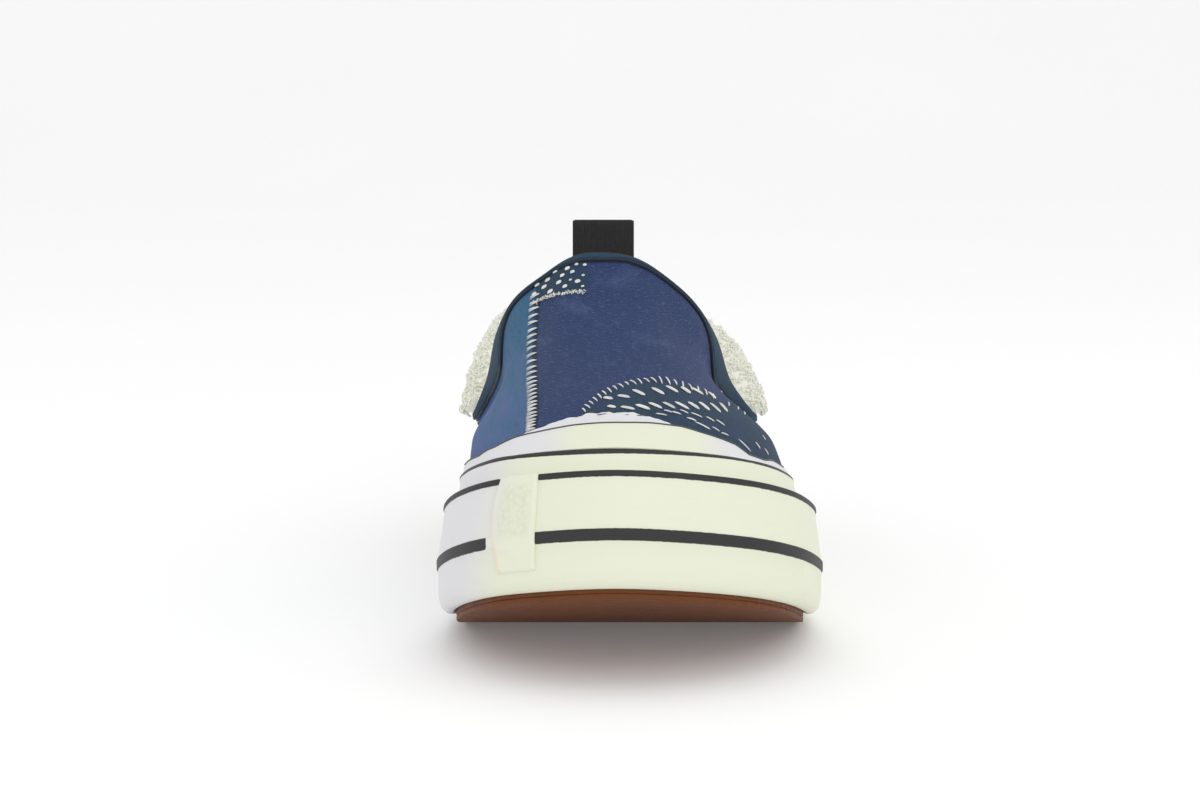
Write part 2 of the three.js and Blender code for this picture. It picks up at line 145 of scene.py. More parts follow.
# Up from 0 to 1 over the first two marks and down again over the last two.
def swell(x, marks):
    return smoothStep(x, marks[0], marks[1]) * (1 - smoothStep(x, marks[2], marks[3]))


# Quartic curve over five handles, foot, knee, crown, shoulder and edge, less the hollow of the side.
def onUpper(u, v):
    u, v = np.broadcast_arrays(u, v)
    foot = solePoint(u, shoe["upperInset"], shoe["footbed"] + shoe["gap"])
    lift = shoe["footbed"] + shoe["gap"] + column("rise", u) * shoe["throatHeight"]
    knee = solePoint(u, shoe["upperInset"] + shoe["upperLean"], lift)

    def handle(name):
        x = column(name, u) * shoe["ballWidth"]
        y = shoe["length"] * (0.5 - column(name + "At", u))
        return np.stack([x, y, column(name + "Z", u) * shoe["throatHeight"]], axis=-1)
    shoulder = handle("shoulder")
    crown = knee + (shoulder - knee) * shoe["crownShare"]
    w = v[..., None]
    handles = [foot, knee, crown, shoulder, handle("edge")]
    points = sum(math.comb(4, k) * w ** k * (1 - w) ** (4 - k) * h for k, h in enumerate(handles))
    turn = np.mod(u, 1.0)
    depth = np.where(turn < 0.5, hollow["outer"], -hollow["inner"])
    points[..., 0] -= depth * swell(np.minimum(turn, 1 - turn), hollow["round"]) * swell(v, hollow["up"])
    return points


# Cross product of the surface's two directions, pointing out.
def upperNormal(u, v):
    alongU = onUpper(u + nudge, v) - onUpper(u - nudge, v)
    alongV = onUpper(u, np.minimum(1, v + nudge)) - onUpper(u, np.maximum(0, v - nudge))
    return unit(np.cross(alongU, alongV))


# Point of the upper moved out along its normal.
def upperPoint(u, v, out):
    u, v, out = np.broadcast_arrays(u, v, out)
    return onUpper(u, v) + upperNormal(u, v) * out[..., None]


# How far up the upper's line a height above the underside lies, by halving.
def shareAtHeight(u, height):
    u, height = np.broadcast_arrays(u, height)
    low, high = np.zeros(u.shape), np.ones(u.shape)
    for _ in range(22):
        mid = (low + high) / 2
        p = onUpper(u, mid)
        under = p[..., 2] - rise(p[..., 1]) < height
        low, high = np.where(under, mid, low), np.where(under, high, mid)
    return low


# Point at this height above the underside, out from the upper's face.
def besideUpper(u, height, out):
    p = upperPoint(u, shareAtHeight(u, height), out).copy()
    p[..., 2] = rise(p[..., 1]) + height
    return p


# How far up the line a point lies this far down from the edge, by halving.
def shareBelowEdge(u, drop):
    u, drop = np.broadcast_arrays(u, drop)
    edge = onUpper(u, np.ones(u.shape))
    low, high = np.full(u.shape, 0.25), np.ones(u.shape)
    for _ in range(20):
        mid = (low + high) / 2
        far = np.linalg.norm(onUpper(u, mid) - edge, axis=-1) > drop
        low, high = np.where(far, mid, low), np.where(far, high, mid)
    return high


# Point round the edge of the opening: out from the face, and up from the edge or down along the face.
def edgePoint(u, out, up):
    u, out, up = np.broadcast_arrays(u, out, up)
    one = np.ones(u.shape)
    edge, n = onUpper(u, one), upperNormal(u, one)
    line = unit(edge - onUpper(u, one * 0.985))
    above = edge + n * out[..., None] + line * np.maximum(up, 0)[..., None]
    below = upperPoint(u, shareBelowEdge(u, np.maximum(-up, 0)), out)
    return np.where((up < 0)[..., None], below, above)


ribProud = 0.4
ribX = outline(np.linspace(0, 1, 721), -ribProud)[0]
heelLine = -(ribX.min() + ribX.max()) / 2  # the heel line lies this far from the middle of the shoe


# Millimetres from the heel line to metres of the frame.
def place(points):
    return (np.asarray(points, float) + [heelLine, 0, 0]) * 0.001


# Camera
photo = {
    "size": (1200, 800),
    "focal": 2480.0,  # pixels
    "from": (-1.2, -768.0, 150.0),  # millimetres from the heel line
    "down": 6.76,  # degrees
    "sensor": 36.0,
}


# It stands where the photograph was taken, low in front of the toe: the lens is to the sensor as the focal
# length is to the picture's width.
def makeCamera():
    lens = bpy.data.cameras.new("camera")
    lens.sensor_width = photo["sensor"]
    lens.lens = photo["sensor"] * photo["focal"] / photo["size"][0]
    lens.clip_end = 50.0
    camera = bpy.data.objects.new("camera", lens)
    bpy.context.collection.objects.link(camera)
    camera.location = place(photo["from"])
    camera.rotation_euler = (math.radians(90 - photo["down"]), 0, 0)
    bpy.context.scene.camera = camera


# Where points fall in the photograph, in its pixels: across and down, times focal length over depth.
def toPhoto(points):
    x, h, z = np.moveaxis(points - np.array(photo["from"]), -1, 0)
    tilt = math.radians(photo["down"])
    depth = h * math.cos(tilt) - z * math.sin(tilt)
    high = h * math.sin(tilt) + z * math.cos(tilt)
    flat = np.stack([x, -high], axis=-1) * photo["focal"] / depth[..., None]
    return flat + np.array(photo["size"]) / 2


# Shares u and v of the upper that fall on pixels: the nearest point of a grid, then Newton steps.
def sharesAt(pixels):
    pixels = np.asarray(pixels, float)
    gu, gv = np.meshgrid(np.linspace(-0.31, 0.31, 125), np.linspace(0.2, 1, 61), indexing="ij")
    grid = onUpper(gu, gv)
    sees = ((np.array(photo["from"]) - grid) * upperNormal(gu, gv)).sum(-1) > 0
    seen = toPhoto(grid[sees])
    nearest = ((pixels[:, None, :] - seen[None, :, :]) ** 2).sum(-1).argmin(1)
    u, v = gu[sees][nearest], gv[sees][nearest]
    for _ in range(12):
        here = toPhoto(onUpper(u, v))
        du = (toPhoto(onUpper(u + 0.001, v)) - here) / 0.001
        dv = (toPhoto(onUpper(u, v - 0.001)) - here) / -0.001
        miss = pixels - here
        det = du[:, 0] * dv[:, 1] - du[:, 1] * dv[:, 0]
        det = np.where(np.abs(det) < 1e3, np.sign(det + 1e-9) * 1e3, det)
        stepU = (miss[:, 0] * dv[:, 1] - miss[:, 1] * dv[:, 0]) / det
        stepV = (du[:, 0] * miss[:, 1] - du[:, 1] * miss[:, 0]) / det
        u = np.clip(u + np.clip(stepU, -0.01, 0.01), -0.33, 0.33)
        v = np.clip(v + np.clip(stepV, -0.02, 0.02), 0.2, 1)
    return u, v


# One share of a pixel line as a function of the other: v at each u, or u at each v where it is byHeight.
def sharesAlong(line, at, byHeight=False, **ends):
    u, v = sharesAt(line)
    known, wanted = (v, u) if byHeight else (u, v)
    order = np.argsort(known)
    return np.interp(at, known[order], wanted[order], **ends)


# Mesh making
# Six times the volume inside faces that point out: the triple products of each face's fan, added up.
def signedVolume(points, faces):
    return sum((points[f[:, 0]] * np.cross(points[f[:, k]], points[f[:, k + 1]])).sum()
               for f in faces for k in range(1, f.shape[1] - 1))


# A closed mesh from points and lists of faces, turned the right way out by the sign of its volume.
def meshPiece(name, points, faces, finish, slotName, uv=None, facts=None, sharp=50):
    points = np.asarray(points, float)
    faces = [np.asarray(f, int) for f in faces if len(f)]
    turned = signedVolume(points, faces) < 0
    if turned:
        faces = [f[:, ::-1] for f in faces]
    loops = np.concatenate([f.ravel() for f in faces])
    sizes = np.concatenate([np.full(len(f), f.shape[1]) for f in faces])
    mesh = bpy.data.meshes.new(name)
    mesh.vertices.add(len(points))
    mesh.vertices.foreach_set("co", place(points).ravel())
    mesh.loops.add(len(loops))
    mesh.loops.foreach_set("vertex_index", loops)
    mesh.polygons.add(len(sizes))
    mesh.polygons.foreach_set("loop_start", np.concatenate([[0], np.cumsum(sizes)[:-1]]))
    mesh.polygons.foreach_set("use_smooth", np.ones(len(sizes), bool))
    if uv is not None:
        corners = [(c[:, ::-1] if turned else c).ravel() for c in uv]
        mesh.uv_layers.new(name="millimetres").data.foreach_set("uv", np.concatenate(corners))
    for key, values in (facts or {}).items():
        fact = mesh.attributes.new(key, "FLOAT", "POINT")
        fact.data.foreach_set("value", np.asarray(values, float).ravel())
    mesh.update(calc_edges=True)
    mesh.validate()
    mesh.set_sharp_from_angle(angle=math.radians(sharp))
    for one in finish if isinstance(finish, (list, tuple)) else [finish]:
        mesh.materials.append(one)
    piece = bpy.data.objects.new(name, mesh)
    bpy.context.collection.objects.link(piece)
    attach(piece, "root")
    return piece


# Quads of a grid of points, row by row.
def gridFaces(rows, cols, closeRows=False, closeCols=False):
    i = np.arange(rows if closeRows else rows - 1)[:, None]
    j = np.arange(cols if closeCols else cols - 1)[None, :]
    ni, nj = (i + 1) % rows, (j + 1) % cols
    return np.stack([i * cols + j, ni * cols + j, ni * cols + nj, i * cols + nj], -1).reshape(-1, 4)


# UV of each quad's corners. The grid has one more row or column than the points where it closes.
def gridCorners(uv):
    return np.stack([uv[:-1, :-1], uv[1:, :-1], uv[1:, 1:], uv[:-1, 1:]], axis=2).reshape(-1, 4, 2)


# A row of closed sections joined into a shell, with a fan over each end unless the row closes.
def tubePiece(name, loops, finish, uvGrid=None, closed=False, facts=None, **rest):
    rows, cols = loops.shape[:2]
    points = loops.reshape(-1, 3)
    faces = [gridFaces(rows, cols, closed, True)]
    uv = None if uvGrid is None else [gridCorners(uvGrid)]
    if not closed:
        ring = np.arange(cols)
        for start, side in ((0, 1), ((rows - 1) * cols, -1)):
            points = np.concatenate([points, points[start:start + cols].mean(0, keepdims=True)])
            fan = np.stack([np.full(cols, len(points) - 1), ring + start, (ring + 1) % cols + start], -1)
            faces.append(fan[:, ::-side])
            if uv is not None:
                uv.append(np.zeros((cols, 3, 2)))
        if facts:
            flat = {k: v.ravel() for k, v in facts.items()}
            facts = {k: np.concatenate([v, [v[0], v[-1]]]) for k, v in flat.items()}
    return meshPiece(name, points, faces, finish, uv=uv, facts=facts, **rest)


# Rings from the underside round to the inside, each end closed straight across the shoe.
def cupPiece(name, rings, finish, facts=None, **rest):
    count, cols = rings.shape[:2]
    half = count // 2
    points = rings.reshape(-1, 3)
    faces = [gridFaces(count, cols, True, False)]
    for j, side in ((0, 1), (cols - 1, -1)):
        i = np.arange(1, half - 1)
        quads = np.stack([i, i + 1, count - i - 1, count - i], -1)
        ends = np.array([[0, 1, count - 1], [half - 1, half, half + 1]])
        faces += [(quads * cols + j)[:, ::side], (ends * cols + j)[:, ::side]]
    return meshPiece(name, points, faces, finish, facts=facts, **rest)


# A path with each inner corner replaced by a quadratic curve, which leaves each side at most this far from
# the corner and never past its middle.
def softened(path, radius, steps=4):
    path = np.asarray(path, float)
    out = [path[:1]]
    for before, corner, after in zip(path[:-2], path[1:-1], path[2:]):
        a, b = before - corner, after - corner
        la, lb = np.linalg.norm(a), np.linalg.norm(b)
        start = corner + a * min(radius, la / 2.2) / la
        end = corner + b * min(radius, lb / 2.2) / lb
        t = np.linspace(0, 1, steps + 1)[:, None]
        out.append(start * (1 - t) ** 2 + 2 * corner * t * (1 - t) + end * t ** 2)
    return np.concatenate(out + [path[-1:]])


# Faces of small tubes that follow one another in the points, each with a face over both ends.
def tubeFaces(count, stations, sides):
    ring = np.arange(sides)
    ends = np.stack([ring[::-1], ring + (stations - 1) * sides])
    first = (np.arange(count) * stations * sides)[:, None, None]
    return [(one[None] + first).reshape(-1, one.shape[1])
            for one in (gridFaces(stations, sides, False, True), ends)]


# Cosines and sines of this many turns spread round a circle.
def circle(sides):
    turn = np.linspace(0, 2 * np.pi, sides, endpoint=False)
    return np.cos(turn), np.sin(turn)


# Smooth closed curve through points that lie along axis 1 of an array.
def closedCurve(points, samples):
    count = points.shape[1]
    along = np.arange(samples) / samples * count
    k = np.floor(along).astype(int)
    t = (along - k)[None, :, None]
    return cubic(*(points[:, (k + step) % count] for step in (-1, 0, 1, 2)), t)


# Length along each row of a grid, measured from its first point.
def lengthsRound(points):
    steps = np.linalg.norm(np.diff(points, axis=0), axis=-1)
    return np.concatenate([np.zeros((1,) + steps.shape[1:]), np.cumsum(steps, axis=0)])


# Smooth lumps between about -1 and 1: sums of sines in turned directions, from a fixed seed.
def waves(a, b, seed, octaves=4, size=1.0):
    draw = np.random.default_rng(seed)
    total, weight = np.zeros(np.broadcast(a, b).shape), 0.0
    for octave in range(octaves):
        for _ in range(4):
            turn, shift = draw.uniform(0, 2 * np.pi, 2)
            speed = 2 ** octave * draw.uniform(0.8, 1.25) * 2 * np.pi / size
            total = total + np.sin((a * np.cos(turn) + b * np.sin(turn)) * speed + shift) / 2 ** octave / 2
        weight += 1 / 2 ** octave
    return total / weight


# Finishes
# A socket that can be used in sums.
class Wire:
    def __init__(self, finish, socket):
        self.finish, self.socket = finish, socket

    def math(self, operation, *others):
        return self.finish.node("ShaderNodeMath", {"operation": operation}, [self, *others])

    def __add__(self, other):
        return self.math("ADD", other)

    def __sub__(self, other):
        return self.math("SUBTRACT", other)

    def __rsub__(self, other):
        return self.finish.node("ShaderNodeMath", {"operation": "SUBTRACT"}, [other, self])

    def __mul__(self, other):
        return self.math("MULTIPLY", other)

    def __truediv__(self, other):
        return self.math("DIVIDE", other)

    __radd__ = __add__
    __rmul__ = __mul__

    # Held between nought and one.
    def held(self):
        return self.math("MINIMUM", 1.0).math("MAXIMUM", 0.0)

    # Never under nought.
    def positive(self):
        return self.math("MAXIMUM", 0.0)

    # 1 where the value is above nought and 0 where it is below, with an edge this soft.
    def inside(self, soft):
        return (self / soft + 0.5).held()


# A material built of nodes round one Principled shader.
class Finish:
    def __init__(self, name, **fixed):
        self.material = bpy.data.materials.new(name)
        self.material.use_nodes = True
        self.tree = self.material.node_tree
        self.shader = self.tree.nodes["Principled BSDF"]
        for key, value in fixed.items():
            self.shader.inputs[key.replace("_", " ")].default_value = value

    def node(self, kind, settings=None, inputs=None, out=0):
        made = self.tree.nodes.new(kind)
        for key, value in (settings or {}).items():
            setattr(made, key, value)
        pairs = inputs.items() if isinstance(inputs, dict) else enumerate(inputs or [])
        for key, value in pairs:
            if isinstance(value, Wire):
                self.tree.links.new(value.socket, made.inputs[key])
            else:
                made.inputs[key].default_value = value
        return Wire(self, made.outputs[out])

    def coordinates(self, kind="Object"):
        return self.node("ShaderNodeTexCoord", out=kind)

    def part(self, vector, axis):
        return self.node("ShaderNodeSeparateXYZ", None, [vector], out=axis)

    def stretched(self, vector, scale):
        return self.node("ShaderNodeMapping", None, {"Vector": vector, "Scale": scale})

    def noise(self, vector, scale, detail=3.0, rough=0.55):
        return self.node("ShaderNodeTexNoise", None,
                         {"Vector": vector, "Scale": scale, "Detail": detail, "Roughness": rough})

    def bands(self, vector, direction, scale, distortion, **more):
        return self.node("ShaderNodeTexWave", {"bands_direction": direction},
                         {"Vector": vector, "Scale": scale, "Distortion": distortion, **more})

    def fact(self, name):
        return self.node("ShaderNodeAttribute", {"attribute_name": name}, out="Fac")

    def mix(self, factor, first, second):
        return self.node("ShaderNodeMix", {"data_type": "RGBA"}, {0: factor, 6: first, 7: second}, out=2)

    # Colour, roughness and a bump of this strength and depth in metres.
    def paint(self, colour, roughness, height=None, strength=0.3, depth=0.001):
        links = {"Base Color": colour, "Roughness": roughness}
        if height is not None:
            links["Normal"] = self.node("ShaderNodeBump", None,
                                        {"Strength": strength, "Distance": depth, "Height": height})
        for key, value in links.items():
            if isinstance(value, Wire):
                self.tree.links.new(value.socket, self.shader.inputs[key])
            else:
                self.shader.inputs[key].default_value = value
        return self.material


# Linear colour of an sRGB one whose levels are above 10, where the curve is a power of 2.4.
def rgb(red, green, blue):
    return tuple(((c / 255 + 0.055) / 1.055) ** 2.4 for c in (red, green, blue)) + (1.0,)


colours = {
    "cream": rgb(230, 233, 211),
    "shadedCoolWhite": rgb(224, 224, 226),
    "rubberMarksAndShade": rgb(214, 217, 192),
    "rubberWarm": rgb(246, 212, 190),
    "charcoal": rgb(48, 48, 49),
    "gum": rgb(106, 57, 18),
    "gumDark": rgb(74, 38, 14),
    "navy": rgb(42, 61, 102),
    "navyDark": rgb(28, 42, 82),
    "navyLight": rgb(126, 142, 182),
    "faded": rgb(60, 106, 140),
    "fadedDark": rgb(32, 66, 98),
    "fadedLilac": rgb(84, 100, 152),
    "teal": rgb(40, 64, 86),
    "tealDark": rgb(20, 38, 56),
    "thread": rgb(238, 236, 226),
    "fleece": rgb(246, 247, 234),
    "fleeceShade": rgb(226, 223, 200),
    "black": rgb(26, 26, 26),
    "blackPaleAndLit": rgb(46, 46, 47),
    "tape": rgb(44, 68, 88),
    "tapeDark": rgb(24, 42, 56),
    "threadShade": rgb(196, 198, 196),
    "cord": rgb(30, 40, 54),
    "cordShade": rgb(22, 28, 38),
    "crease": rgb(78, 78, 76),
    "creaseShade": rgb(60, 60, 60),
}


# Creamy rubber that drifts into cool white, on the inner side of the shoe or beside the middle of the cap, or is
# cool white all over. The cool white is a little darker than the cream: partly a change of tint and partly
# painted shade. Faint marks, a pebbled area with painted shade between its bumps, and painted stripes lie over
# it.
def rubberFinish(name, striped=False, pebbled=False, warmPart="side"):
    finish = Finish(name, Specular_IOR_Level=0.35)
    at = finish.coordinates()
    drift = finish.noise(at, 22.0, 3.0)
    grain = finish.noise(at, 900.0, 3.0)
    marks = finish.noise(finish.stretched(at, (1, 1, 3)), 60.0, 4.0, 0.7)
    across, up = finish.part(at, "X"), finish.part(at, "Z")
    # Share of cream; the rest is the cool white, partly painted shade
    if warmPart == "side":
        warm = (across + 0.043) * 90 + (0.016 - up) * 20
    elif warmPart == "middle":
        warm = (0.019 - across).math("MINIMUM", across + 0.02) * 100
    else:
        warm = across * 0 - 1
    warm = (warm + (drift - 0.5) * 1.6).inside(0.8)
    colour = finish.mix(warm, colours["shadedCoolWhite"], colours["cream"])
    colour = finish.mix(((marks - 0.6) * 1.8).positive(), colour, colours["rubberMarksAndShade"])
    height = grain * 0.25 + marks * 0.4
    rough = drift * 0.12 + 0.42
    strength = 0.12
    if pebbled:
        cells = finish.node("ShaderNodeTexVoronoi", {"feature": "F1"}, {"Vector": at, "Scale": 640.0})
        area = finish.fact("pebble").inside(1.5)
        bumps = (0.75 - cells).positive() * area
        # Darker between the bumps: painted shade
        colour = finish.mix((0.5 - bumps) * area * 0.8, colour, colours["rubberMarksAndShade"])
        colour = finish.mix(finish.fact("rim") * 0.7, colour, colours["rubberWarm"])
        height = bumps * 1.6 + height * 0.2
        strength = 0.5
    if striped:
        mask = (finish.fact("stripe") + (finish.noise(at, 700.0, 2.0) - 0.5) * 0.25).inside(0.14)
        colour = finish.mix(mask, colour, colours["charcoal"])
        rough = rough + mask * 0.1
    return finish.paint(colour, rough, height, strength, 0.0006)


# Brown gum rubber: darker in the grooves of a fine tread of small waves, a little mottled.
def gumFinish():
    finish = Finish("gum rubber", Specular_IOR_Level=0.35)
    at = finish.coordinates()
    mottle = finish.noise(at, 70.0, 5.0, 0.65)
    bend = finish.node(
        "ShaderNodeTexWave", {"wave_type": "BANDS", "bands_direction": "Y", "wave_profile": "SAW"},
        {"Vector": at, "Scale": 55.0, "Distortion": 5.0, "Detail": 1.0, "Detail Scale": 9.0})
    fine = finish.noise(at, 1200.0, 2.0)
    colour = finish.mix(((mottle - 0.5) * 2.4 + 0.5).inside(1.0), colours["gumDark"], colours["gum"])
    return finish.paint(colour, mottle * 0.2 + 0.5, bend * 0.8 + fine * 0.3 + mottle * 0.4, 0.5, 0.0008)


# Twill on millimetre coordinates: warp and weft threads crossing, with a slanted rib. One band is 0.314 units
# wide at scale 1.
def weave(finish, at, pitch):
    warp, weft = (finish.bands(at, axis, 0.314 / pitch, 0.8, Detail=1.5) for axis in ("X", "Y"))
    rib = finish.bands(at, "DIAGONAL", 0.42 / pitch, 1.2, Detail=1.5)
    return warp * 0.35 + weft * 0.35 + rib * 0.4


# Dyed warp over pale weft: fine heather, blotches, long pale slubs across, slow wear.
def denimColours(finish, at, dark, base, light, slub, blotch):
    heather = finish.noise(finish.stretched(at, (0.8, 1.5, 1.0)), 1.5, 4.0, 0.85)
    blotches = finish.noise(at, 0.42, 3.0, 0.6)
    slubs = finish.noise(finish.stretched(at, (0.3, 2.0, 1.0)), 1.5, 3.0, 0.75)
    wear = finish.noise(at, 0.06, 4.0, 0.6)
    tone = (heather - 0.5) * 4.0 + (blotches - 0.5) * blotch + 0.55
    colour = finish.mix(tone.inside(1.0) * 0.75 + 0.1, dark, base)
    colour = finish.mix(((slubs - 0.575) * 10.0).held() * slub, colour, light)
    return finish.mix(((wear - 0.55) * 0.8).positive(), colour, light), heather, slubs


# Navy panel, faded panel inside the whip-stitched seam, and two dark patches.
def patchworkFinish():
    finish = Finish("patchwork denim", Sheen_Weight=0.08, Sheen_Roughness=0.5, Specular_IOR_Level=0.12)
    at = finish.coordinates("UV")
    navy, heather, slubs = denimColours(
        finish, at, colours["navyDark"], colours["navy"], colours["navyLight"], 0.55, 1.6)
    faded, _, _ = denimColours(
        finish, at, colours["fadedDark"], colours["faded"], colours["fadedLilac"], 0.3, 2.6)
    lilac = finish.noise(finish.stretched(at, (0.9, 0.4, 1.0)), 0.2, 4.0)
    low = 0.066 - finish.part(finish.coordinates(), "Z")
    lilac = ((lilac - 0.5) * 3.0 + low * 40).inside(1.0) * 0.75
    faded = finish.mix(lilac, faded, colours["fadedLilac"])
    teal, _, _ = denimColours(finish, at, colours["tealDark"], colours["teal"], colours["faded"], 0.12, 2.0)
    stain = finish.noise(at, 0.14, 2.0)
    teal = finish.mix(((stain - 0.55) * 6.0).inside(1.0) * 0.4, teal, colours["navy"])
    colour = finish.mix(finish.fact("fadedPanel").inside(0.5), navy, faded)
    colour = finish.mix(finish.fact("patches").inside(0.35), colour, teal)
    colour = finish.mix(finish.fact("seamShade").positive(), colour, colours["tealDark"])
    height = weave(finish, at, 0.62) + heather * 0.6 + slubs * 0.5
    return finish.paint(colour, 0.9, height, 0.4, 0.0004)


# Dark twill tape with hardly a slub.
def tapeFinish():
    finish = Finish("dark denim tape", Sheen_Weight=0.08, Specular_IOR_Level=0.12)
    at = finish.coordinates("UV")
    colour, heather, _ = denimColours(
        finish, at, colours["tapeDark"], colours["tape"], colours["faded"], 0.08, 1.0)
    return finish.paint(colour, 0.9, weave(finish, at, 0.6) + heather, 0.4, 0.0004)


# Cotton thread: fine twisted lines and a soft change of tone.
def threadFinish(name, colour, shade):
    finish = Finish(name, Sheen_Weight=0.2, Specular_IOR_Level=0.25)
    at = finish.coordinates()
    tone = finish.noise(at, 160.0, 3.0)
    twist = finish.bands(at, "DIAGONAL", 900.0, 2.0)
    colour = finish.mix(((tone - 0.45) * 2.0).inside(1.0), shade, colour)
    return finish.paint(colour, 0.75, twist, 0.3, 0.0002)


# Sheared fleece: creamy curls with darker hollows, the darkening being painted shade. Its glow is painted light,
# standing for the light that fibres pass on.
def fleeceFinish(name, shade, glow=0.0):
    finish = Finish(name, Sheen_Weight=0.4, Sheen_Roughness=0.6, Specular_IOR_Level=0.1,
                    Emission_Color=colours["fleece"], Emission_Strength=glow)
    at = finish.coordinates()
    curls = finish.node("ShaderNodeTexVoronoi", {"feature": "SMOOTH_F1"}, {"Vector": at, "Scale": 330.0})
    tone = finish.noise(at, 90.0, 3.0)
    # Painted shade in the hollows between the curls
    hollowShade = (curls * 1.3 + tone * 0.5 - 0.45).positive() * shade
    colour = finish.mix(hollowShade, colours["fleece"], colours["fleeceShade"])
    fibres = finish.noise(at, 2200.0, 3.0, 0.7)
    return finish.paint(colour, 0.95, (1 - curls) * 1.4 + fibres * 0.5, 0.7, 0.0016)


# Black woven webbing: fine ribs along the strip and the weft between them. It is paler in random patches, and
# paler along the ribs, which is painted highlight.
def webbingFinish():
    finish = Finish("black webbing", Sheen_Weight=0.05, Specular_IOR_Level=0.25)
    at = finish.coordinates("UV")
    ribs = finish.bands(at, "X", 0.28, 0.3)
    weft = finish.bands(at, "Y", 0.55, 0.6)
    tone = finish.noise(at, 0.5, 4.0, 0.7)
    # Paler at random and along the ribs; the paler ribs are painted highlight
    light = ((tone - 0.5) * 2.0 + 0.4).inside(1.0) * 0.5 + ribs * 0.25
    colour = finish.mix(light, colours["black"], colours["blackPaleAndLit"])
    return finish.paint(colour, 0.8, ribs + weft * 0.5 + tone * 0.4, 0.5, 0.0004)


around = 480  # points round the shoe on the fine surfaces
ringU = np.arange(around) / around
roundShoe = 640  # about how many millimetres u spans
lowPoint = 0.3  # share of the way round where the throat meets the collar, and where the side seams lie


# Rings round the sole that follow a path of insets and heights.
def soleRings(path):
    return solePoint(ringU[:, None], path[:, 0], path[:, 1])


# Outsole
outsole = {"inset": 5.0, "thickness": 4.5, "edge": 1.2}


# Flat tread with a rounded edge, a side with one fine groove, closed across inside the foxing.
def makeOutsole():
    inset, top = outsole["inset"], outsole["thickness"]
    path = softened([(inset + outsole["edge"] + 6, 0.0), (inset + 0.1, 0.0), (inset, 1.3), (inset + 0.35, 1.5),
                     (inset, 1.7), (inset, top), (inset + 4, top)], 0.5)
    piece = cupPiece("outsole_gum", soleRings(path), gumFinish(), slotName="gum_rubber")
    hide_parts("outsole")


# Foxing
foxing = {
    "height": 33.1,
    "lip": 2.4,
    "lean": 2.2,
    "lowerRib": (14.3, 3.2, ribProud),  # height, width, proud
    "upperRib": (31.2, 1.75, ribProud),
    "stripesEnd": (-30.9, -27.0),  # x where the lower and the upper stripe stop beside the joint
    "stripesStart": -22.0,  # x where both go on
}
patch = {
    "proud": 0.7,
    # share of the height, and x there
    "inner": [(0.0, -27.6), (0.15, -28.3), (0.4, -29.3), (0.65, -29.6), (0.85, -29.0), (1.0, -27.8)],
    "outer": -17.8,
    "pebbled": (0.36, 0.9),
}


# How far the face has leaned in at a height: in proportion above the lower rib.
def foxingFace(height):
    start = foxing["lowerRib"][0] + foxing["lowerRib"][1]
    return foxing["lean"] * np.clip((height - start) / (foxing["height"] - start), 0, None)


# A path from the tread side up over two ribs and the ledge, then down the upper's face to the sole slab.
def makeFoxing(rubber):
    seat = outsole["inset"] - shoe["gap"]
    side = [(seat, 6.0), (seat, foxing["lip"]), (2.4, foxing["lip"]), (0.6, foxing["lip"] + 1.7),
            (0.0, foxing["lip"] + 5.0)]
    for height, width, proud in (foxing["lowerRib"], foxing["upperRib"]):
        side += [(foxingFace(h) - out, h) for out, h in (
            (0, height), (proud, height + 0.3), (proud, height + width - 0.3), (0, height + width))]
    side += [(foxingFace(foxing["height"]) + 0.9, foxing["height"])]
    bottom, top = softened(side[:6], 1.6, 6), softened(side[5:], 0.22, 3)
    path = np.concatenate([bottom, top[1:]])
    t = np.linspace(0, 1, 14)[None, 1:]
    ledge = shareAtHeight(ringU, foxing["height"])[:, None]
    inner = upperPoint(ringU[:, None], ledge * (1 - t), shoe["gap"])
    ledgeEdge = upperPoint(ringU[:, None], ledge, shoe["gap"])
    rings = np.concatenate([soleRings(path), ledgeEdge, inner], axis=1)
    x = rings[..., 0]
    height = rings[..., 2] - rise(rings[..., 1])
    front = (ringU[:, None] > 0.8) & (rings[..., 1] < 0)
    stripe = np.full(x.shape, -5.0)
    for (low, width, _), end in zip((foxing["lowerRib"], foxing["upperRib"]), foxing["stripesEnd"]):
        beside = np.where(front, np.maximum(end - x, x - foxing["stripesStart"]), 50.0)
        stripe = np.maximum(stripe, np.minimum(np.minimum(height - low, low + width - height), beside))
    stripe[:, len(path):] = -5.0
    piece = cupPiece("foxing_rubber", rings, rubber, facts={"stripe": stripe}, slotName="white_rubber")
    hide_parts("foxing")


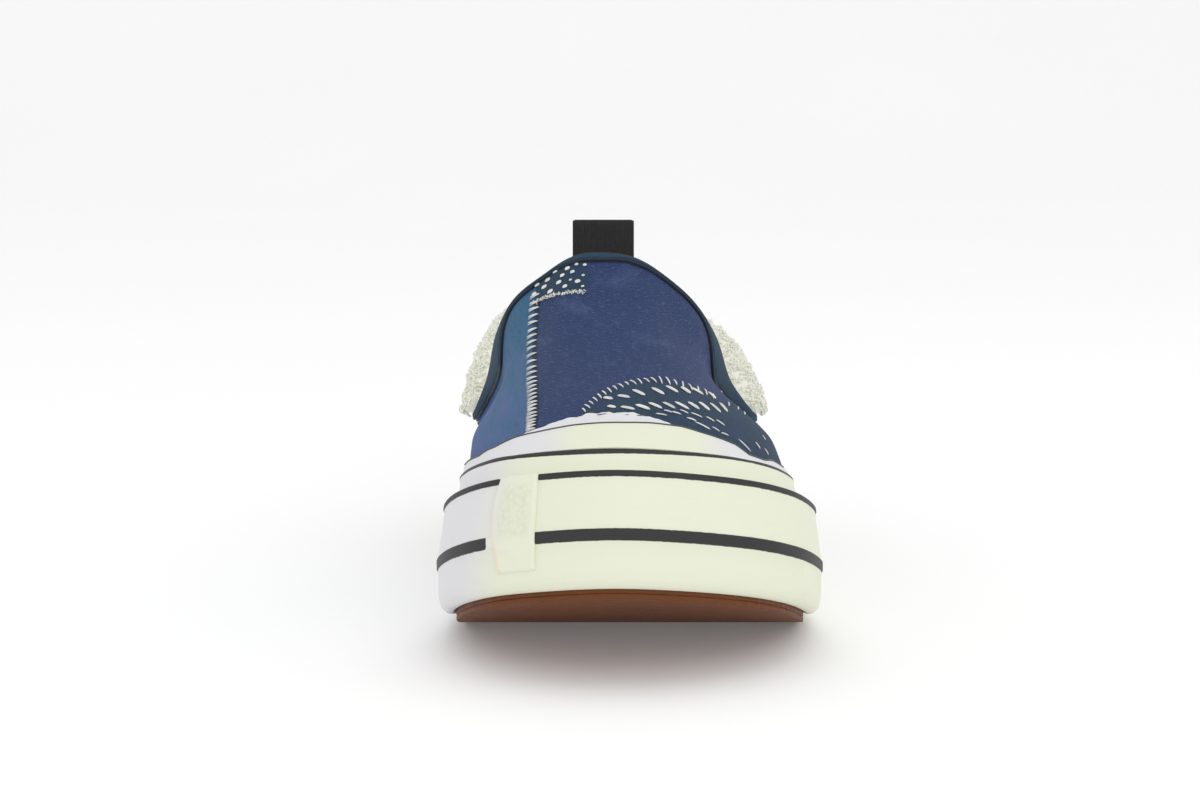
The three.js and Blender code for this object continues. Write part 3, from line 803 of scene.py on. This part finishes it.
# A patch over the joint with softly rounded sides and a bowed inner side; its middle is pebbled.
def makeJointPatch(pebbled):
    low, high = foxing["lip"] + 5, foxing["upperRib"][0] + foxing["upperRib"][1] + 0.1
    s, h = np.meshgrid(np.linspace(0, 1, 48), np.linspace(0, 1, 72), indexing="ij")
    height = low + (high - low) * h
    shares = np.linspace(0.9, 1.0, 400)
    inner = np.interp(h, *np.transpose(patch["inner"]))
    x = inner + (patch["outer"] - inner) * s
    u = np.interp(x, outline(shares, 0.0)[0], shares)
    edge = np.minimum(np.minimum(x - inner, patch["outer"] - x), np.minimum(h, 1 - h) * (high - low))
    out = patch["proud"] * np.sqrt(np.clip(edge / 0.8, 0, 1)) + 0.02
    outer = solePoint(u, foxingFace(height) - out - 0.35, height)
    back = solePoint(u, foxingFace(height) + 0.25, height)
    loops = np.concatenate([outer, back[:, ::-1]], axis=1)
    area = np.minimum(np.minimum(x - inner - 2.2, patch["outer"] - x - 1.4),
                      np.minimum(h - patch["pebbled"][0], patch["pebbled"][1] - h) * 20)
    rim = np.clip(1 - np.abs(x - inner - 0.9) / 0.5, 0, 1) * np.clip(1.4 - 2 * h, 0, 1)
    facts = {"pebble": np.concatenate([area, area[:, ::-1]], axis=1),
             "rim": np.concatenate([rim, rim[:, ::-1]], axis=1)}
    piece = tubePiece("joint_patch_rubber", loops, pebbled, facts=facts, slotName="white_rubber")
    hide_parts("joint_patch")


# Upper band and toe cap
band = {"height": 8.3, "over": 0.75, "thickness": 2.2, "stripe": 1.25, "widerAtToe": 1.0}
cap = {
    "thickness": 1.5,
    "reach": 0.2125,  # share of the way round, to each side
    "layer": 0.85,
    "tucked": 1.3,  # how far the foot of each sheet reaches down behind the band
    "seenHigher": (0, 4),  # pixels that the thickness lifts the sheets in the photograph
    "wrinkle": 0.35,
    "line": [(470, 462), (500, 446), (520, 437), (540, 432.5), (560, 428.5), (575, 426), (600, 424), (625, 423.7),
             (650, 424), (680, 427.5), (700, 433.5), (730, 444), (760, 456), (778, 465)],
    "top": [(470, 461), (484, 455), (500, 445), (512, 440), (530, 430), (545, 425), (560, 419), (575, 416),
            (583, 414), (600, 411), (610, 411), (635, 412), (655, 417), (680, 427), (690, 430), (705, 432),
            (730, 444), (745, 455), (760, 460), (772, 460)],
    # The folds become short dark threads of painted shade
    "folds": [(586, 417.5, 5), (594, 414.5, 4), (602, 417, 5), (622, 414.8, 6), (628, 417.5, 5), (640, 418, 5),
              (612, 413.6, 4), (575, 420, 4)],  # middle and half length of the short dark creases, in pixels
}
bandTop = foxing["height"] + band["height"] + band["over"]


# A closed section, nearly upright, carried round the upper; its top edge is painted.
def makeBand(rubber):
    bottom, thick = foxing["height"] + 0.25, band["thickness"]
    path = softened([(0.25, bottom), (thick, bottom), (thick, bandTop - 1.7), (thick + 0.25, bandTop - 1.4),
                     (thick + 0.2, bandTop - 0.3), (thick - 0.6, bandTop), (0.25, bandTop)], 0.5, 4)
    loops = besideUpper(ringU[:, None], path[None, :, 1], path[None, :, 0] + 0.05)
    height = np.broadcast_to(path[None, :, 1], loops.shape[:2])
    face = np.broadcast_to(path[None, :, 0] > 0.9, loops.shape[:2])
    wider = band["widerAtToe"] * np.exp(-(loops[..., 0] / 26) ** 2) * (loops[..., 1] < 0)
    stripe = np.where(face, height - (bandTop - band["stripe"]) + wider, -3.0)
    piece = tubePiece("upper_band_rubber", loops, rubber, closed=True, facts={"stripe": stripe},
                      slotName="white_rubber")
    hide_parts("upper_band")


# Two sheets over the toe: a thick one up to the fine line, and a thin wrinkled one up to the denim.
# A dark cord along the fine line and short dark threads on the creases are painted shade.
def makeToeCap(rubbers, shade):
    u = np.linspace(-cap["reach"], cap["reach"], 420)[:, None]
    foot = shareAtHeight(u, bandTop - cap["tucked"])
    fine, top = (sharesAlong(np.array(cap[line]) + cap["seenHigher"], u) for line in ("line", "top"))
    fade = np.clip((cap["reach"] - np.abs(u)) / 0.03, 0, 1)
    top = np.maximum(top, foot + 0.012)
    fine = np.clip(np.minimum(fine, top + 0.004), foot + 0.006, None)
    for name, until, thick, rubber in (("toe_cap_sheet", fine, cap["thickness"], rubbers[0]),
                                       ("toe_cap_top", top, cap["layer"], rubbers[1])):
        t = softened([(0.1, 0.0), (thick, 0.0), (thick, 1.0), (0.1, 1.0)], 0.06, 4)
        t = np.concatenate([t[:6], np.stack([np.full(24, thick), np.linspace(0.08, 0.92, 24)], -1), t[6:]])
        out = t[:, 0] * (0.45 + 0.55 * np.sqrt(fade))
        v = foot + (until - foot) * t[:, 1]
        if name == "toe_cap_top":
            middle = np.exp(-((onUpper(u, until)[..., 0] - 3) / 17) ** 2)
            ruffle = waves(u * roundShoe, v * 60, 4, 2, 7.0)
            high = np.clip((t[:, 1] - 0.6) / 0.4, 0, 1)
            out = out + cap["wrinkle"] * middle * high * ruffle * (t[:, 0] > 0.5)
        loops = upperPoint(u, v, out + 0.05)
        facts = {"stripe": np.full(loops.shape[:2], -5.0)}
        piece = tubePiece(name, loops, rubber, facts=facts, slotName="white_rubber")
        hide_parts("toe_cap")
    # Painted shade: a dark cord where the thick sheet ends, and short dark threads on the creases of the thin one
    lineU = np.linspace(-0.15, 0.14, 260)
    lineV = np.interp(lineU, u[:, 0], fine[:, 0])
    tube("cap_line_shade", upperPoint(lineU, lineV, cap["thickness"] + 0.02), 0.27, shade, "white_rubber")
    x, y, half = np.transpose(cap["folds"])
    starts, ends = np.stack([x - half, y + 0.8], -1), np.stack([x + half, y - 0.4], -1)
    stitchesOnPhoto("cap_fold_shades", starts, ends, 0.16, 0.0, shade, cap["layer"] + 0.05)


# A round cord along a path, its section square to the path.
def tube(name, path, radius, finish, slotName, sides=8):
    along = unit(np.gradient(path, axis=0))
    side = unit(np.cross(along, [0.3, 0.2, 1.0]))
    up = np.cross(side, along)
    cos, sin = circle(sides)
    loops = path[:, None] + radius * (cos[:, None] * side[:, None] + sin[:, None] * up[:, None])
    return tubePiece(name, loops, finish, slotName=slotName)


# Upper
seam = {
    "line": [(536, 290), (535, 300), (534, 312), (533, 325), (532, 345), (532, 365), (532, 385), (532.5, 400),
             (532, 415), (530.5, 432), (529, 445)],
    "stitches": [296, 303, 309, 316, 322.5, 330, 336, 342, 348, 355, 361.5, 368, 373, 378.5, 383, 387, 391, 395,
                 399, 403, 406.5, 410, 414, 417.5, 421, 424, 427, 430],  # heights in the photograph
    "half": (5.6, 1.9),  # half a stitch, across and up, in pixels
    "radius": 0.27,
}
dotPatch = {
    "right": [(588.5, 248), (588, 262), (587.5, 275), (586.5, 292)],
    "bottom": [(520, 308), (534, 303), (545, 298), (555, 295), (570, 292.5), (585, 291.5), (600, 291)],
    "dots": [(576, 259, 1), (584.5, 259.5, 0.9), (563, 262, 0.9), (568, 269.5, 1), (573, 273, 0.9),
             (556, 272.5, 0.9), (563, 276.5, 0.9), (583.5, 276.5, 0.6), (542, 278.5, 0.9), (548.5, 281, 1),
             (559.5, 283.5, 1), (578, 282.5, 1.05), (538, 286, 0.9), (545, 288, 1), (565.5, 287.5, 0.95),
             (583, 287.5, 0.6), (535, 295, 0.9), (551, 292.5, 1.05), (585, 266, 0.7), (577, 265.5, 0.7),
             (552, 266, 0.8), (571, 281, 0.6)],  # middle and size
    "half": (2.6, 1.0),
    "radius": 0.86,
}
sashiko = {
    "arc": [(581, 415), (586, 409), (591, 404), (597, 399), (605, 393.5), (612, 390), (620, 387), (627, 384.5),
            (636, 383), (645, 381.5), (655, 381), (665, 381.5), (672, 382.5), (680, 385), (690, 388), (703, 392),
            (712, 397), (720, 402), (730, 406), (739, 411), (746, 415)],
    "arcStep": (4.8, 9.0),
    "arcRadius": 0.24,
    "wide": [(617, 397, 630, 399), (632, 391, 645, 397), (651, 389, 664, 396), (665, 387, 678, 394),
             (680, 388, 690, 395), (690, 389, 703, 396), (603, 399, 613, 400.5), (707, 393, 715, 400)],
    "middle": [(620, 408, 635, 411), (635, 406, 650, 411), (648, 404, 662, 410), (662, 403.5, 675, 410),
               (674, 403, 689, 411), (687, 403, 699, 411), (698, 403, 709, 412), (709, 404, 720, 414),
               (718, 403, 727, 414), (728, 406, 739, 415), (607, 407.5, 616, 409)],
    "thin": [(655, 415, 667, 417), (663, 411.5, 672, 414), (671, 413, 681, 416), (679, 411, 688, 415),
             (690, 414, 702, 419), (705, 418, 714, 423), (715, 421, 724, 427), (733, 420, 738, 426),
             (739, 418, 744, 422), (746, 415, 753, 428), (686, 419, 696, 422.5), (694, 423, 710, 431),
             (720, 434, 728, 437), (730, 428, 737, 435), (735, 425, 741, 430), (741, 435, 749, 441),
             (749, 431, 758, 441), (737, 440, 750, 453), (754, 443, 759, 450), (761, 436, 764, 441),
             (763, 449, 767, 456), (725, 425, 732, 431), (711, 428, 719, 433), (744, 428, 749, 435)],
    "radii": {"wide": 0.8, "middle": 0.74, "thin": 0.36},
}


# Points along a line of pixels, with steps that may grow or shrink on the way.
def alongLine(line, step, lastStep=None):
    line = np.asarray(line, float)
    run = np.concatenate([[0], np.cumsum(np.linalg.norm(np.diff(line, axis=0), axis=1))])
    at = np.cumsum(np.linspace(step, lastStep or step, int(run[-1] * 2 / (step + (lastStep or step)))))
    return np.stack([np.interp(at, run, line[:, k]) for k in (0, 1)], -1)


# Outer and inner faces of the wall, with the patches a little raised on the outer face. Each panel and patch
# is the least distance in millimetres to its sides, above nought inside it.
def makeUpper(denim, lining):
    v = np.linspace(0, 1, 109)
    back = slice(None, None, -9)  # the inner face has every ninth row
    u = ringU[:, None]
    signedU = np.where(u > 0.5, u - 1, u)
    seamAt = sharesAlong(seam["line"], v, byHeight=True)
    rightAt = sharesAlong(dotPatch["right"], v, byHeight=True)
    bottomAt = sharesAlong(dotPatch["bottom"], signedU)
    arcAt = sharesAlong(sashiko["arc"], signedU, left=0.0)
    faces = onUpper(u, v)
    half = around // 2
    roundMm = lengthsRound(np.concatenate([faces[half:], faces[:half + 1]]))
    roundMm = roundMm - roundMm[half]
    above, under = np.minimum(v + nudge, 1), np.maximum(v - nudge, 0)
    perU = np.linalg.norm(onUpper(u + nudge / 2, v) - onUpper(u - nudge / 2, v), axis=-1) / nudge
    perV = np.linalg.norm(onUpper(u, above) - onUpper(u, under), axis=-1) / (above - under)
    fadedPanel = np.minimum(seamAt - signedU, signedU + lowPoint) * perU
    dots = np.minimum(np.minimum(rightAt - signedU, signedU - seamAt) * perU, (v - bottomAt) * perV)
    field = np.minimum((arcAt - v) * perV, np.minimum(signedU + 0.02, lowPoint - signedU) * perU)
    patches = np.maximum(dots, field)
    seamShade = 0.85 * np.clip(2 - np.abs((signedU - seamAt) * perU - 1.7) / 0.45, 0, 1) * (dots < 0)
    raised = 0.35 * np.clip(patches / 0.8 + 0.5, 0, 1)
    inner = upperPoint(u, v[back], -shoe["upperWall"])
    loops = np.concatenate([upperPoint(u, v, raised), inner], axis=1)
    acrossMm = np.concatenate([roundMm[half:], roundMm[1:half + 1]])
    upMm = lengthsRound(np.swapaxes(faces, 0, 1)).T
    uvOuter = np.stack([acrossMm, np.concatenate([upMm, upMm[:1]])], -1)
    uvGrid = np.concatenate([uvOuter, uvOuter[:, back], uvOuter[:, :1]], axis=1)
    facts = {name: np.concatenate([outside, np.full(inner.shape[:2], within)], axis=1)
             for name, outside, within in (("fadedPanel", fadedPanel, -9.0), ("patches", patches, -9.0),
                                           ("seamShade", seamShade, 0.0))}
    piece = tubePiece("upper_denim", loops, [denim, lining], uvGrid, closed=True, facts=facts, slotName="denim")
    inside = np.zeros((around, loops.shape[1]), int)
    inside[:, len(v) - 1:] = 1
    piece.data.polygons.foreach_set("material_index", inside.ravel())
    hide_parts("upper")


# Threads from start to end: a line that bows up in its middle, with an oval section that closes at both ends.
def stitches(name, starts, ends, normals, radii, lift, finish, flat=0.7):
    count, stations, sides = len(starts), 7, 8
    t = np.linspace(0, 1, stations)
    run = ends - starts
    side = unit(np.cross(normals, run))
    radii = np.broadcast_to(radii, (count,))[:, None, None]
    centre = starts[:, None] + run[:, None] * t[:, None]
    centre = centre + normals[:, None] * (lift * np.sin(np.pi * t) ** 0.7)[:, None]
    full = (np.sqrt(np.clip(1 - np.abs(2 * t - 1) ** 3.5, 0, 1)) + 0.05)[:, None]
    cos, sin = circle(sides)
    wide = (radii * full * cos)[..., None] * side[:, None, None]
    high = (radii * full * sin * flat)[..., None] * normals[:, None, None]
    points = (centre[:, :, None] + wide + high).reshape(-1, 3)
    return meshPiece(name, points, tubeFaces(count, stations, sides), finish, slotName="denim", sharp=80)


longestThread = 6.0
missLimit = 5  # pixels between a thread's end and the nearest point of the upper


# Threads whose two ends are pixels of the photograph, laid on the upper. Those off the upper are left out, and
# a long one is cut to longestThread about its middle.
def stitchesOnPhoto(name, starts, ends, radii, lift, finish, out=0.4, flat=0.7):
    ua, va = sharesAt(starts)
    ub, vb = sharesAt(ends)
    miss = [np.linalg.norm(toPhoto(onUpper(u, v)) - pixels, axis=1)
            for u, v, pixels in ((ua, va, starts), (ub, vb, ends))]
    on = np.maximum(*miss) < missLimit
    ua, va, ub, vb = ua[on], va[on], ub[on], vb[on]
    radii = np.broadcast_to(radii, on.shape)[on]
    length = np.linalg.norm(onUpper(ub, vb) - onUpper(ua, va), axis=1)
    share = np.minimum(1, longestThread / length) / 2
    middleU, middleV = (ua + ub) / 2, (va + vb) / 2
    halfU, halfV = (ub - ua) * share, (vb - va) * share
    starts = upperPoint(middleU - halfU, middleV - halfV, out)
    ends = upperPoint(middleU + halfU, middleV + halfV, out)
    print(name, int(on.sum()), "of", len(on))
    return stitches(name, starts, ends, upperNormal(middleU, middleV), radii, lift, finish, flat)


# Threads of the photograph: slanted pairs down the seam, short thick dots, stitches square to the patch's arc,
# rows of dashes, and loose threads in turned directions along the frayed edge.
def makeStitching(thread):
    draw = np.random.default_rng(11)
    y = np.array(seam["stitches"])
    x = np.interp(y, *np.transpose(seam["line"])[::-1])
    across, up = seam["half"]
    jitter = draw.normal(0, 0.35, (len(y), 2))
    for side, shift in (("", 0.0), ("_return", 2.2)):
        starts = np.stack([x - across, y + up + shift], -1) + jitter
        ends = np.stack([x + across, y - up], -1) - jitter
        radius = seam["radius"] * (1 - shift / 8)
        stitchesOnPhoto("seam_stitches" + side, starts, ends, radius, 0.25, thread, 0.2)

    x, y, size = np.transpose(dotPatch["dots"])
    run = np.array(dotPatch["half"]) * [1, -1] * size[:, None]
    middle = np.stack([x, y], -1)
    radii = dotPatch["radius"] * size
    stitchesOnPhoto("dot_stitches", middle - run, middle + run, radii, 0.08, thread, 0.48, 0.25)

    at = alongLine(sashiko["arc"], *sashiko["arcStep"])
    share = np.linspace(0, 1, len(at))
    ahead = unit(np.gradient(at, axis=0))
    square = np.stack([-ahead[:, 1], ahead[:, 0]], -1)
    lean = ahead * np.interp(share, [0, 0.3, 0.6, 1], [0.2, -2.0, -3.0, -2.6])[:, None]
    out = square * 3.1 - lean - draw.normal(0, 0.55, at.shape)
    stitchesOnPhoto("patch_edge_stitches", at - out, at + out, sashiko["arcRadius"], 0.3, thread, 0.35)

    for row, radius in sashiko["radii"].items():
        dashes = np.array(sashiko[row], float)
        radii = radius * draw.uniform(0.85, 1.12, len(dashes))
        stitchesOnPhoto("sashiko_" + row, dashes[:, :2], dashes[:, 2:], radii, 0.12, thread, 0.48, 0.35)

    at = alongLine(dotPatch["bottom"][1:-1], 0.6)
    at = at + draw.normal(0, 0.8, at.shape)
    turn = draw.uniform(0.2, 2.9, len(at))
    run = np.stack([np.cos(turn), np.sin(turn)], -1) * draw.uniform(1.0, 3.2, (len(at), 1))
    stitchesOnPhoto("frayed_threads", at - run * 0.4, at + run, 0.11, 0.15, thread, 0.35)


# Side seams: from the lowest point of the opening down to the band, with two rows of small stitches.
def makeSideSeams(thread):
    starts, ends, normals = [], [], []
    for seamU in (lowPoint, 1 - lowPoint):
        for beside in (-0.0035, 0.0035):
            v = np.arange(0.36, 0.93, 0.03)
            u = np.full(v.shape, seamU + beside)
            starts.append(upperPoint(u, v, 0.12))
            ends.append(upperPoint(u, v + 0.02, 0.12))
            normals.append(upperNormal(u, v + 0.01))
    starts, ends, normals = (np.concatenate(rows) for rows in (starts, ends, normals))
    stitches("side_seam_stitches", starts, ends, normals, 0.26, 0.12, thread)


# Throat binding
binding = {
    "thickness": 0.9,
    # share of the way round, and width there
    "widths": [(-0.3, 2.0), (-0.28, 2.3), (-0.26, 4.0), (-0.24, 6.0), (-0.22, 9.5), (-0.2, 12.5), (-0.18, 9.0),
               (-0.168, 3.0), (-0.155, 1.2), (-0.08, 1.2), (-0.06, 2.5), (0.0, 3.0), (0.04, 2.0), (0.06, 2.0),
               (0.08, 1.2), (0.14, 1.2), (0.16, 2.5), (0.17, 5.0), (0.18, 8.5), (0.2, 12.0), (0.215, 11.5),
               (0.24, 7.0), (0.26, 4.5), (0.28, 2.7), (0.3, 2.0)],
    "cord": 0.5,
}


# A tape folded over the edge, as wide as the photograph shows, with a cord along its lower side.
def makeBinding(tape, cordFinish):
    u = np.linspace(-lowPoint + 0.004, lowPoint - 0.004, 260)
    width = np.interp(u, *np.transpose(binding["widths"]))
    width = np.convolve(np.pad(width, 3, mode="edge"), np.ones(7) / 7, mode="valid")
    face, back = 0.32, -shoe["upperWall"] - 0.4
    front, inside = face + binding["thickness"], back - binding["thickness"]
    wall = -shoe["upperWall"] / 2
    path = softened([(face, -1.0), (front, -1.0), (front, -0.5), (front, 0.0), (wall, 0.12), (inside, 0.0),
                     (inside, -0.5), (inside, -1.0), (back, -1.0), (back, -0.5), (back, 0.0), (wall, 0.02),
                     (face, 0.0), (face, -0.5)], 0.35, 3)
    down = np.where(path[:, 0] < -1, np.minimum(width, 4.0)[:, None], width[:, None])
    up = np.where(path[:, 1] < 0, path[:, 1] * down, path[:, 1] * 10)
    loops = edgePoint(u[:, None], path[:, 0], up)
    mm = lengthsRound(loops)
    acrossMm = lengthsRound(np.swapaxes(np.concatenate([loops, loops[:, :1]], 1), 0, 1)).T
    uvGrid = np.stack([np.concatenate([mm, mm[:, :1]], 1), acrossMm], -1)
    piece = tubePiece("throat_binding_tape", loops, tape, uvGrid, slotName="dark_denim")
    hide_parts("throat_binding")
    inner = slice(3, -3)
    path = upperPoint(u[inner], shareBelowEdge(u[inner], width[inner] + 0.35), 0.45)
    tube("throat_cord", path, binding["cord"], cordFinish, "dark_denim")


# Fleece collar
fleece = {
    "thickness": 7.5, "above": 6.4, "below": 13.0, "over": 4.8,
    "tufts": 9000, "tuftLength": 2.1, "tuftRadius": 0.6,
}
tabHalf = 12.2  # half the room that the roll leaves for the pull tab


# A roll over the edge from side to side round the heel, lumpy, with short curled tufts on its face.
def makeFleece(pile):
    u = np.linspace(lowPoint - 0.004, 1 - lowPoint + 0.004, 300)[:, None]
    inside = -shoe["upperWall"] - 0.35
    end = np.clip(np.minimum(u - lowPoint + 0.006, 1 - lowPoint + 0.006 - u) / 0.07, 0, 1)
    size = 0.4 + 0.6 * np.sqrt(end)
    besideTab = np.clip((np.abs(onUpper(u, np.ones(u.shape))[..., 0]) - tabHalf) / 5, 0, 1)
    overhang = np.where(np.abs(u - 0.5) < 0.1, besideTab, 1.0)
    lump = 1 + 0.10 * waves(u * roundShoe, u * 0, 3, 3, 30.0)
    thick, above = (fleece[k] * size * lump for k in ("thickness", "above"))
    below = fleece["below"] * size
    flap = inside + (fleece["over"] * size - inside) * overhang
    table = [
        (inside, -below), (inside, -below / 2), (inside, 0.6), ((inside + flap) / 2, 0.6),
        (flap - 0.6 * overhang, 0.2),
        (flap + 0.4, above * 0.3), (flap - 0.1, above * 0.72), (flap * 0.5 + inside * 0.5, above * 0.98),
        (inside - thick * 0.4, above * 0.95), (inside - thick * 0.9, above * 0.5), (inside - thick, -below * 0.3),
        (inside - thick * 0.85, -below * 0.7), (inside - thick * 0.35, -below - 1.2),
    ]
    points = np.concatenate([edgePoint(u, a + 0 * u, b + 0 * u) for a, b in table], axis=1)
    cols = 64
    loops = closedCurve(points, cols)
    away = unit(loops - loops.mean(axis=1, keepdims=True))
    j = np.arange(cols)[None, :]
    face = np.clip(np.minimum(j - 20, 62 - j) / 4, 0, 1)
    lumps = waves(u * roundShoe, j * 0.9, 8, 3, 9.0)
    loops = loops + away * (0.8 * lumps * face)[..., None]
    piece = tubePiece("fleece_roll", loops, pile, slotName="fleece")
    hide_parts("fleece_collar")

    draw = np.random.default_rng(5)
    count = fleece["tufts"]
    row = draw.uniform(1, len(u) - 2, count)
    col = draw.uniform(21, 61, count)
    r0, c0 = row.astype(int), col.astype(int)
    fr, fc = (row - r0)[:, None], (col - c0)[:, None]
    here, beside, ahead, aslant = (loops[r, c] for r in (r0, r0 + 1) for c in (c0, (c0 + 1) % cols))
    base = (here * (1 - fr) + ahead * fr) * (1 - fc) + (beside * (1 - fr) + aslant * fr) * fc
    normal = unit(np.cross(beside - here, ahead - here))
    outwards = np.sign((normal * away[r0, c0]).sum(1))[:, None]
    makeTufts(base, normal * outwards, pile, draw)


# Short curls: each leaves the surface and bends over to one side, getting thinner.
def makeTufts(base, normal, pile, draw):
    count, stations, sides = len(base), 4, 3
    length = fleece["tuftLength"] * draw.uniform(0.6, 1.15, (count, 1))
    radius = fleece["tuftRadius"] * draw.uniform(0.7, 1.3, count)
    lean = unit(np.cross(normal, draw.normal(0, 1, (count, 3))))
    side = np.cross(normal, lean)
    bend = np.linspace(0, 1, stations)[:, None] * 2.2
    path = base[:, None] - normal[:, None] * 0.35 + length[:, None] * (
        normal[:, None] * np.sin(bend) * 0.55 + lean[:, None] * (1 - np.cos(bend)) * 0.5)
    full = np.array([0.9, 1.0, 0.85, 0.2])
    cos, sin = circle(sides)
    across = cos[:, None] * side[:, None, None] + sin[:, None] * normal[:, None, None]
    across = radius[:, None, None, None] * full[:, None, None] * across
    points = (path[:, :, None] + across).reshape(-1, 3)
    faces = tubeFaces(count, stations, sides)
    meshPiece("fleece_tufts", points, faces, pile, slotName="fleece", sharp=180)


# Insole
insole = {"inset": 9.8, "thickness": 4.0}


# A sheet of pile on the sole slab, its upper edge sloped over a quarter of its thickness.
def makeInsole(pile):
    inset, bottom, top = insole["inset"], shoe["footbed"] + shoe["gap"], insole["thickness"]
    path = softened([(inset + 6, bottom), (inset, bottom), (inset, bottom + top * 0.75),
                     (inset + 1.4, bottom + top), (inset + 8, bottom + top)], 1.0, 5)
    piece = cupPiece("insole_pile", soleRings(path), pile, slotName="insole_pile")
    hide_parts("insole")


# Pull tab
tab = {"width": 22.4, "thickness": 1.3, "standUp": 30.4, "drop": 24.0, "gap": 5.0}


# A strip sewn down the heel that loops up over the collar: its middle line is shifted half its thickness.
def makePullTab(webbing):
    x = np.linspace(tab["width"] / 2, -tab["width"] / 2, 24)
    sideU = np.linspace(0.46, 0.54, 200)
    edgeX = onUpper(sideU, 1.0)[:, 0]
    u = np.interp(x, edgeX[::-1], sideU[::-1])
    heel = onUpper(np.array(0.5), np.array(1.0))
    base = onUpper(u, 1.0)
    fall = np.linspace(1, 0.04, 14)
    share = shareBelowEdge(u[:, None], fall * tab["drop"])
    sewn = upperPoint(u[:, None], share, 0.3 + tab["thickness"] / 2)
    loop = np.array([(0, 0), (0.6, 0.35), (0.62, 0.8), (0.35, 0.96), (0, 1), (-0.2, 0.93), (-0.25, 0.75),
                     (-0.2, 0.35), (-0.1, 0.05)])
    dense = softened(np.stack([loop[:, 0] * tab["gap"], loop[:, 1] * tab["standUp"]], -1), 3.0, 5)
    up = dense[:, 1] / tab["standUp"]
    curve = (base[:, 1] - heel[1])[:, None] * np.clip(1 - 1.6 * up, 0, None)
    raised = np.stack([np.broadcast_to(x[:, None], curve.shape), heel[1] + curve + 0.95 + dense[:, 0],
                       heel[2] + 0.6 + np.broadcast_to(dense[:, 1], curve.shape)], -1)
    sewn[..., 0] = x[:, None]
    middle = np.concatenate([sewn, raised], axis=1)
    normal = unit(np.cross(np.gradient(middle, axis=1), np.gradient(middle, axis=0)))
    edge = np.clip((tab["width"] / 2 - np.abs(x)) / 0.8, 0, 1)[:, None, None]
    half = tab["thickness"] / 2 * np.sqrt(0.15 + 0.85 * edge)
    front, back, middle = (np.swapaxes(p, 0, 1) for p in (middle + normal * half, middle - normal * half, middle))
    loops = np.concatenate([front, back[:, ::-1]], axis=1)
    alongMm = np.broadcast_to(lengthsRound(middle)[:, :1], (loops.shape[0], loops.shape[1] + 1))
    acrossMm = np.broadcast_to(np.concatenate([x, x[::-1], x[:1]]), alongMm.shape)
    uvGrid = np.stack([acrossMm, alongMm], -1)
    piece = tubePiece("pull_tab_webbing", loops, webbing, uvGrid, slotName="webbing")
    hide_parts("pull_tab")


# Stage
# Pale floor that curves up far behind by a quarter circle, and soft lights that face what they aim at.
def makeStage():
    finish = Finish("studio floor", Specular_IOR_Level=0.1, Emission_Color=rgb(255, 255, 255),
                    Emission_Strength=0.1)
    tone = finish.noise(finish.coordinates(), 1.5, 2.0)
    paper = finish.paint(finish.mix(tone, rgb(247, 247, 247), rgb(251, 251, 251)), 0.9)
    across = np.linspace(-6, 6, 3)
    bend = np.linspace(0, np.pi / 2, 24)
    arc = np.stack([3 + 1.5 * np.sin(bend), 1.5 - 1.5 * np.cos(bend)], -1)
    y, z = np.concatenate([[(-4, 0), (3.0, 0)], arc, [(4.5, 6.0)]]).T
    grid = np.stack(np.broadcast_arrays(across[:, None], y, z), -1).reshape(-1, 3)
    mesh = bpy.data.meshes.new("floor")
    mesh.from_pydata(grid.tolist(), [], gridFaces(len(across), len(y)).tolist())
    mesh.polygons.foreach_set("use_smooth", np.ones(len(mesh.polygons), bool))
    mesh.materials.append(paper)
    floor = bpy.data.objects.new("floor", mesh)
    bpy.context.collection.objects.link(floor)

    world = bpy.data.worlds.new("studio")
    world.use_nodes = True
    sky = world.node_tree.nodes["Background"]
    sky.inputs["Color"].default_value = (1.0, 1.0, 1.0, 1.0)
    sky.inputs["Strength"].default_value = 0.85
    bpy.context.scene.world = world
    for name, where, size, power, aim in (
        ("top light", (0.15, -0.15, 1.6), 1.4, 2.4, (0, 0, 0.05)),
        ("front light", (0.5, -1.6, 0.9), 1.0, 4.0, (0, -0.05, 0.05)),
    ):
        lamp = bpy.data.lights.new(name, "AREA")
        lamp.size, lamp.energy = size, power
        light = bpy.data.objects.new(name, lamp)
        light.location = where
        gaze = np.array(aim) - np.array(where)
        light.rotation_euler = (math.acos(-gaze[2] / np.linalg.norm(gaze)), 0,
                                math.atan2(gaze[1], gaze[0]) - math.pi / 2)
        bpy.context.collection.objects.link(light)
    bpy.context.scene.view_settings.view_transform = "Standard"


makeCamera()
print("camera")
makeStage()
print("stage")
whiteRubber = rubberFinish("white rubber", striped=True)
pile = fleeceFinish("cream fleece", 0.3, 0.17)
thread = threadFinish("cream thread", colours["thread"], colours["threadShade"])
darkThread = threadFinish("dark cord", colours["cord"], colours["cordShade"])
makeOutsole()
print("outsole")
makeFoxing(whiteRubber)
makeJointPatch(rubberFinish("pebbled rubber", pebbled=True))
makeBand(whiteRubber)
sheet = rubberFinish("cap sheet rubber", warmPart="middle")
layer = rubberFinish("cap top rubber", warmPart="none")
makeToeCap([sheet, layer], threadFinish("crease shade", colours["crease"], colours["creaseShade"]))
print("rubber pieces")
makeUpper(patchworkFinish(), fleeceFinish("lining fleece", 0.8))
print("upper")
makeStitching(thread)
makeSideSeams(darkThread)
print("stitches")
makeBinding(tapeFinish(), darkThread)
print("binding")
makeFleece(pile)
print("fleece")
makeInsole(fleeceFinish("insole pile", 0.6))
makePullTab(webbingFinish())
print("insole and tab")
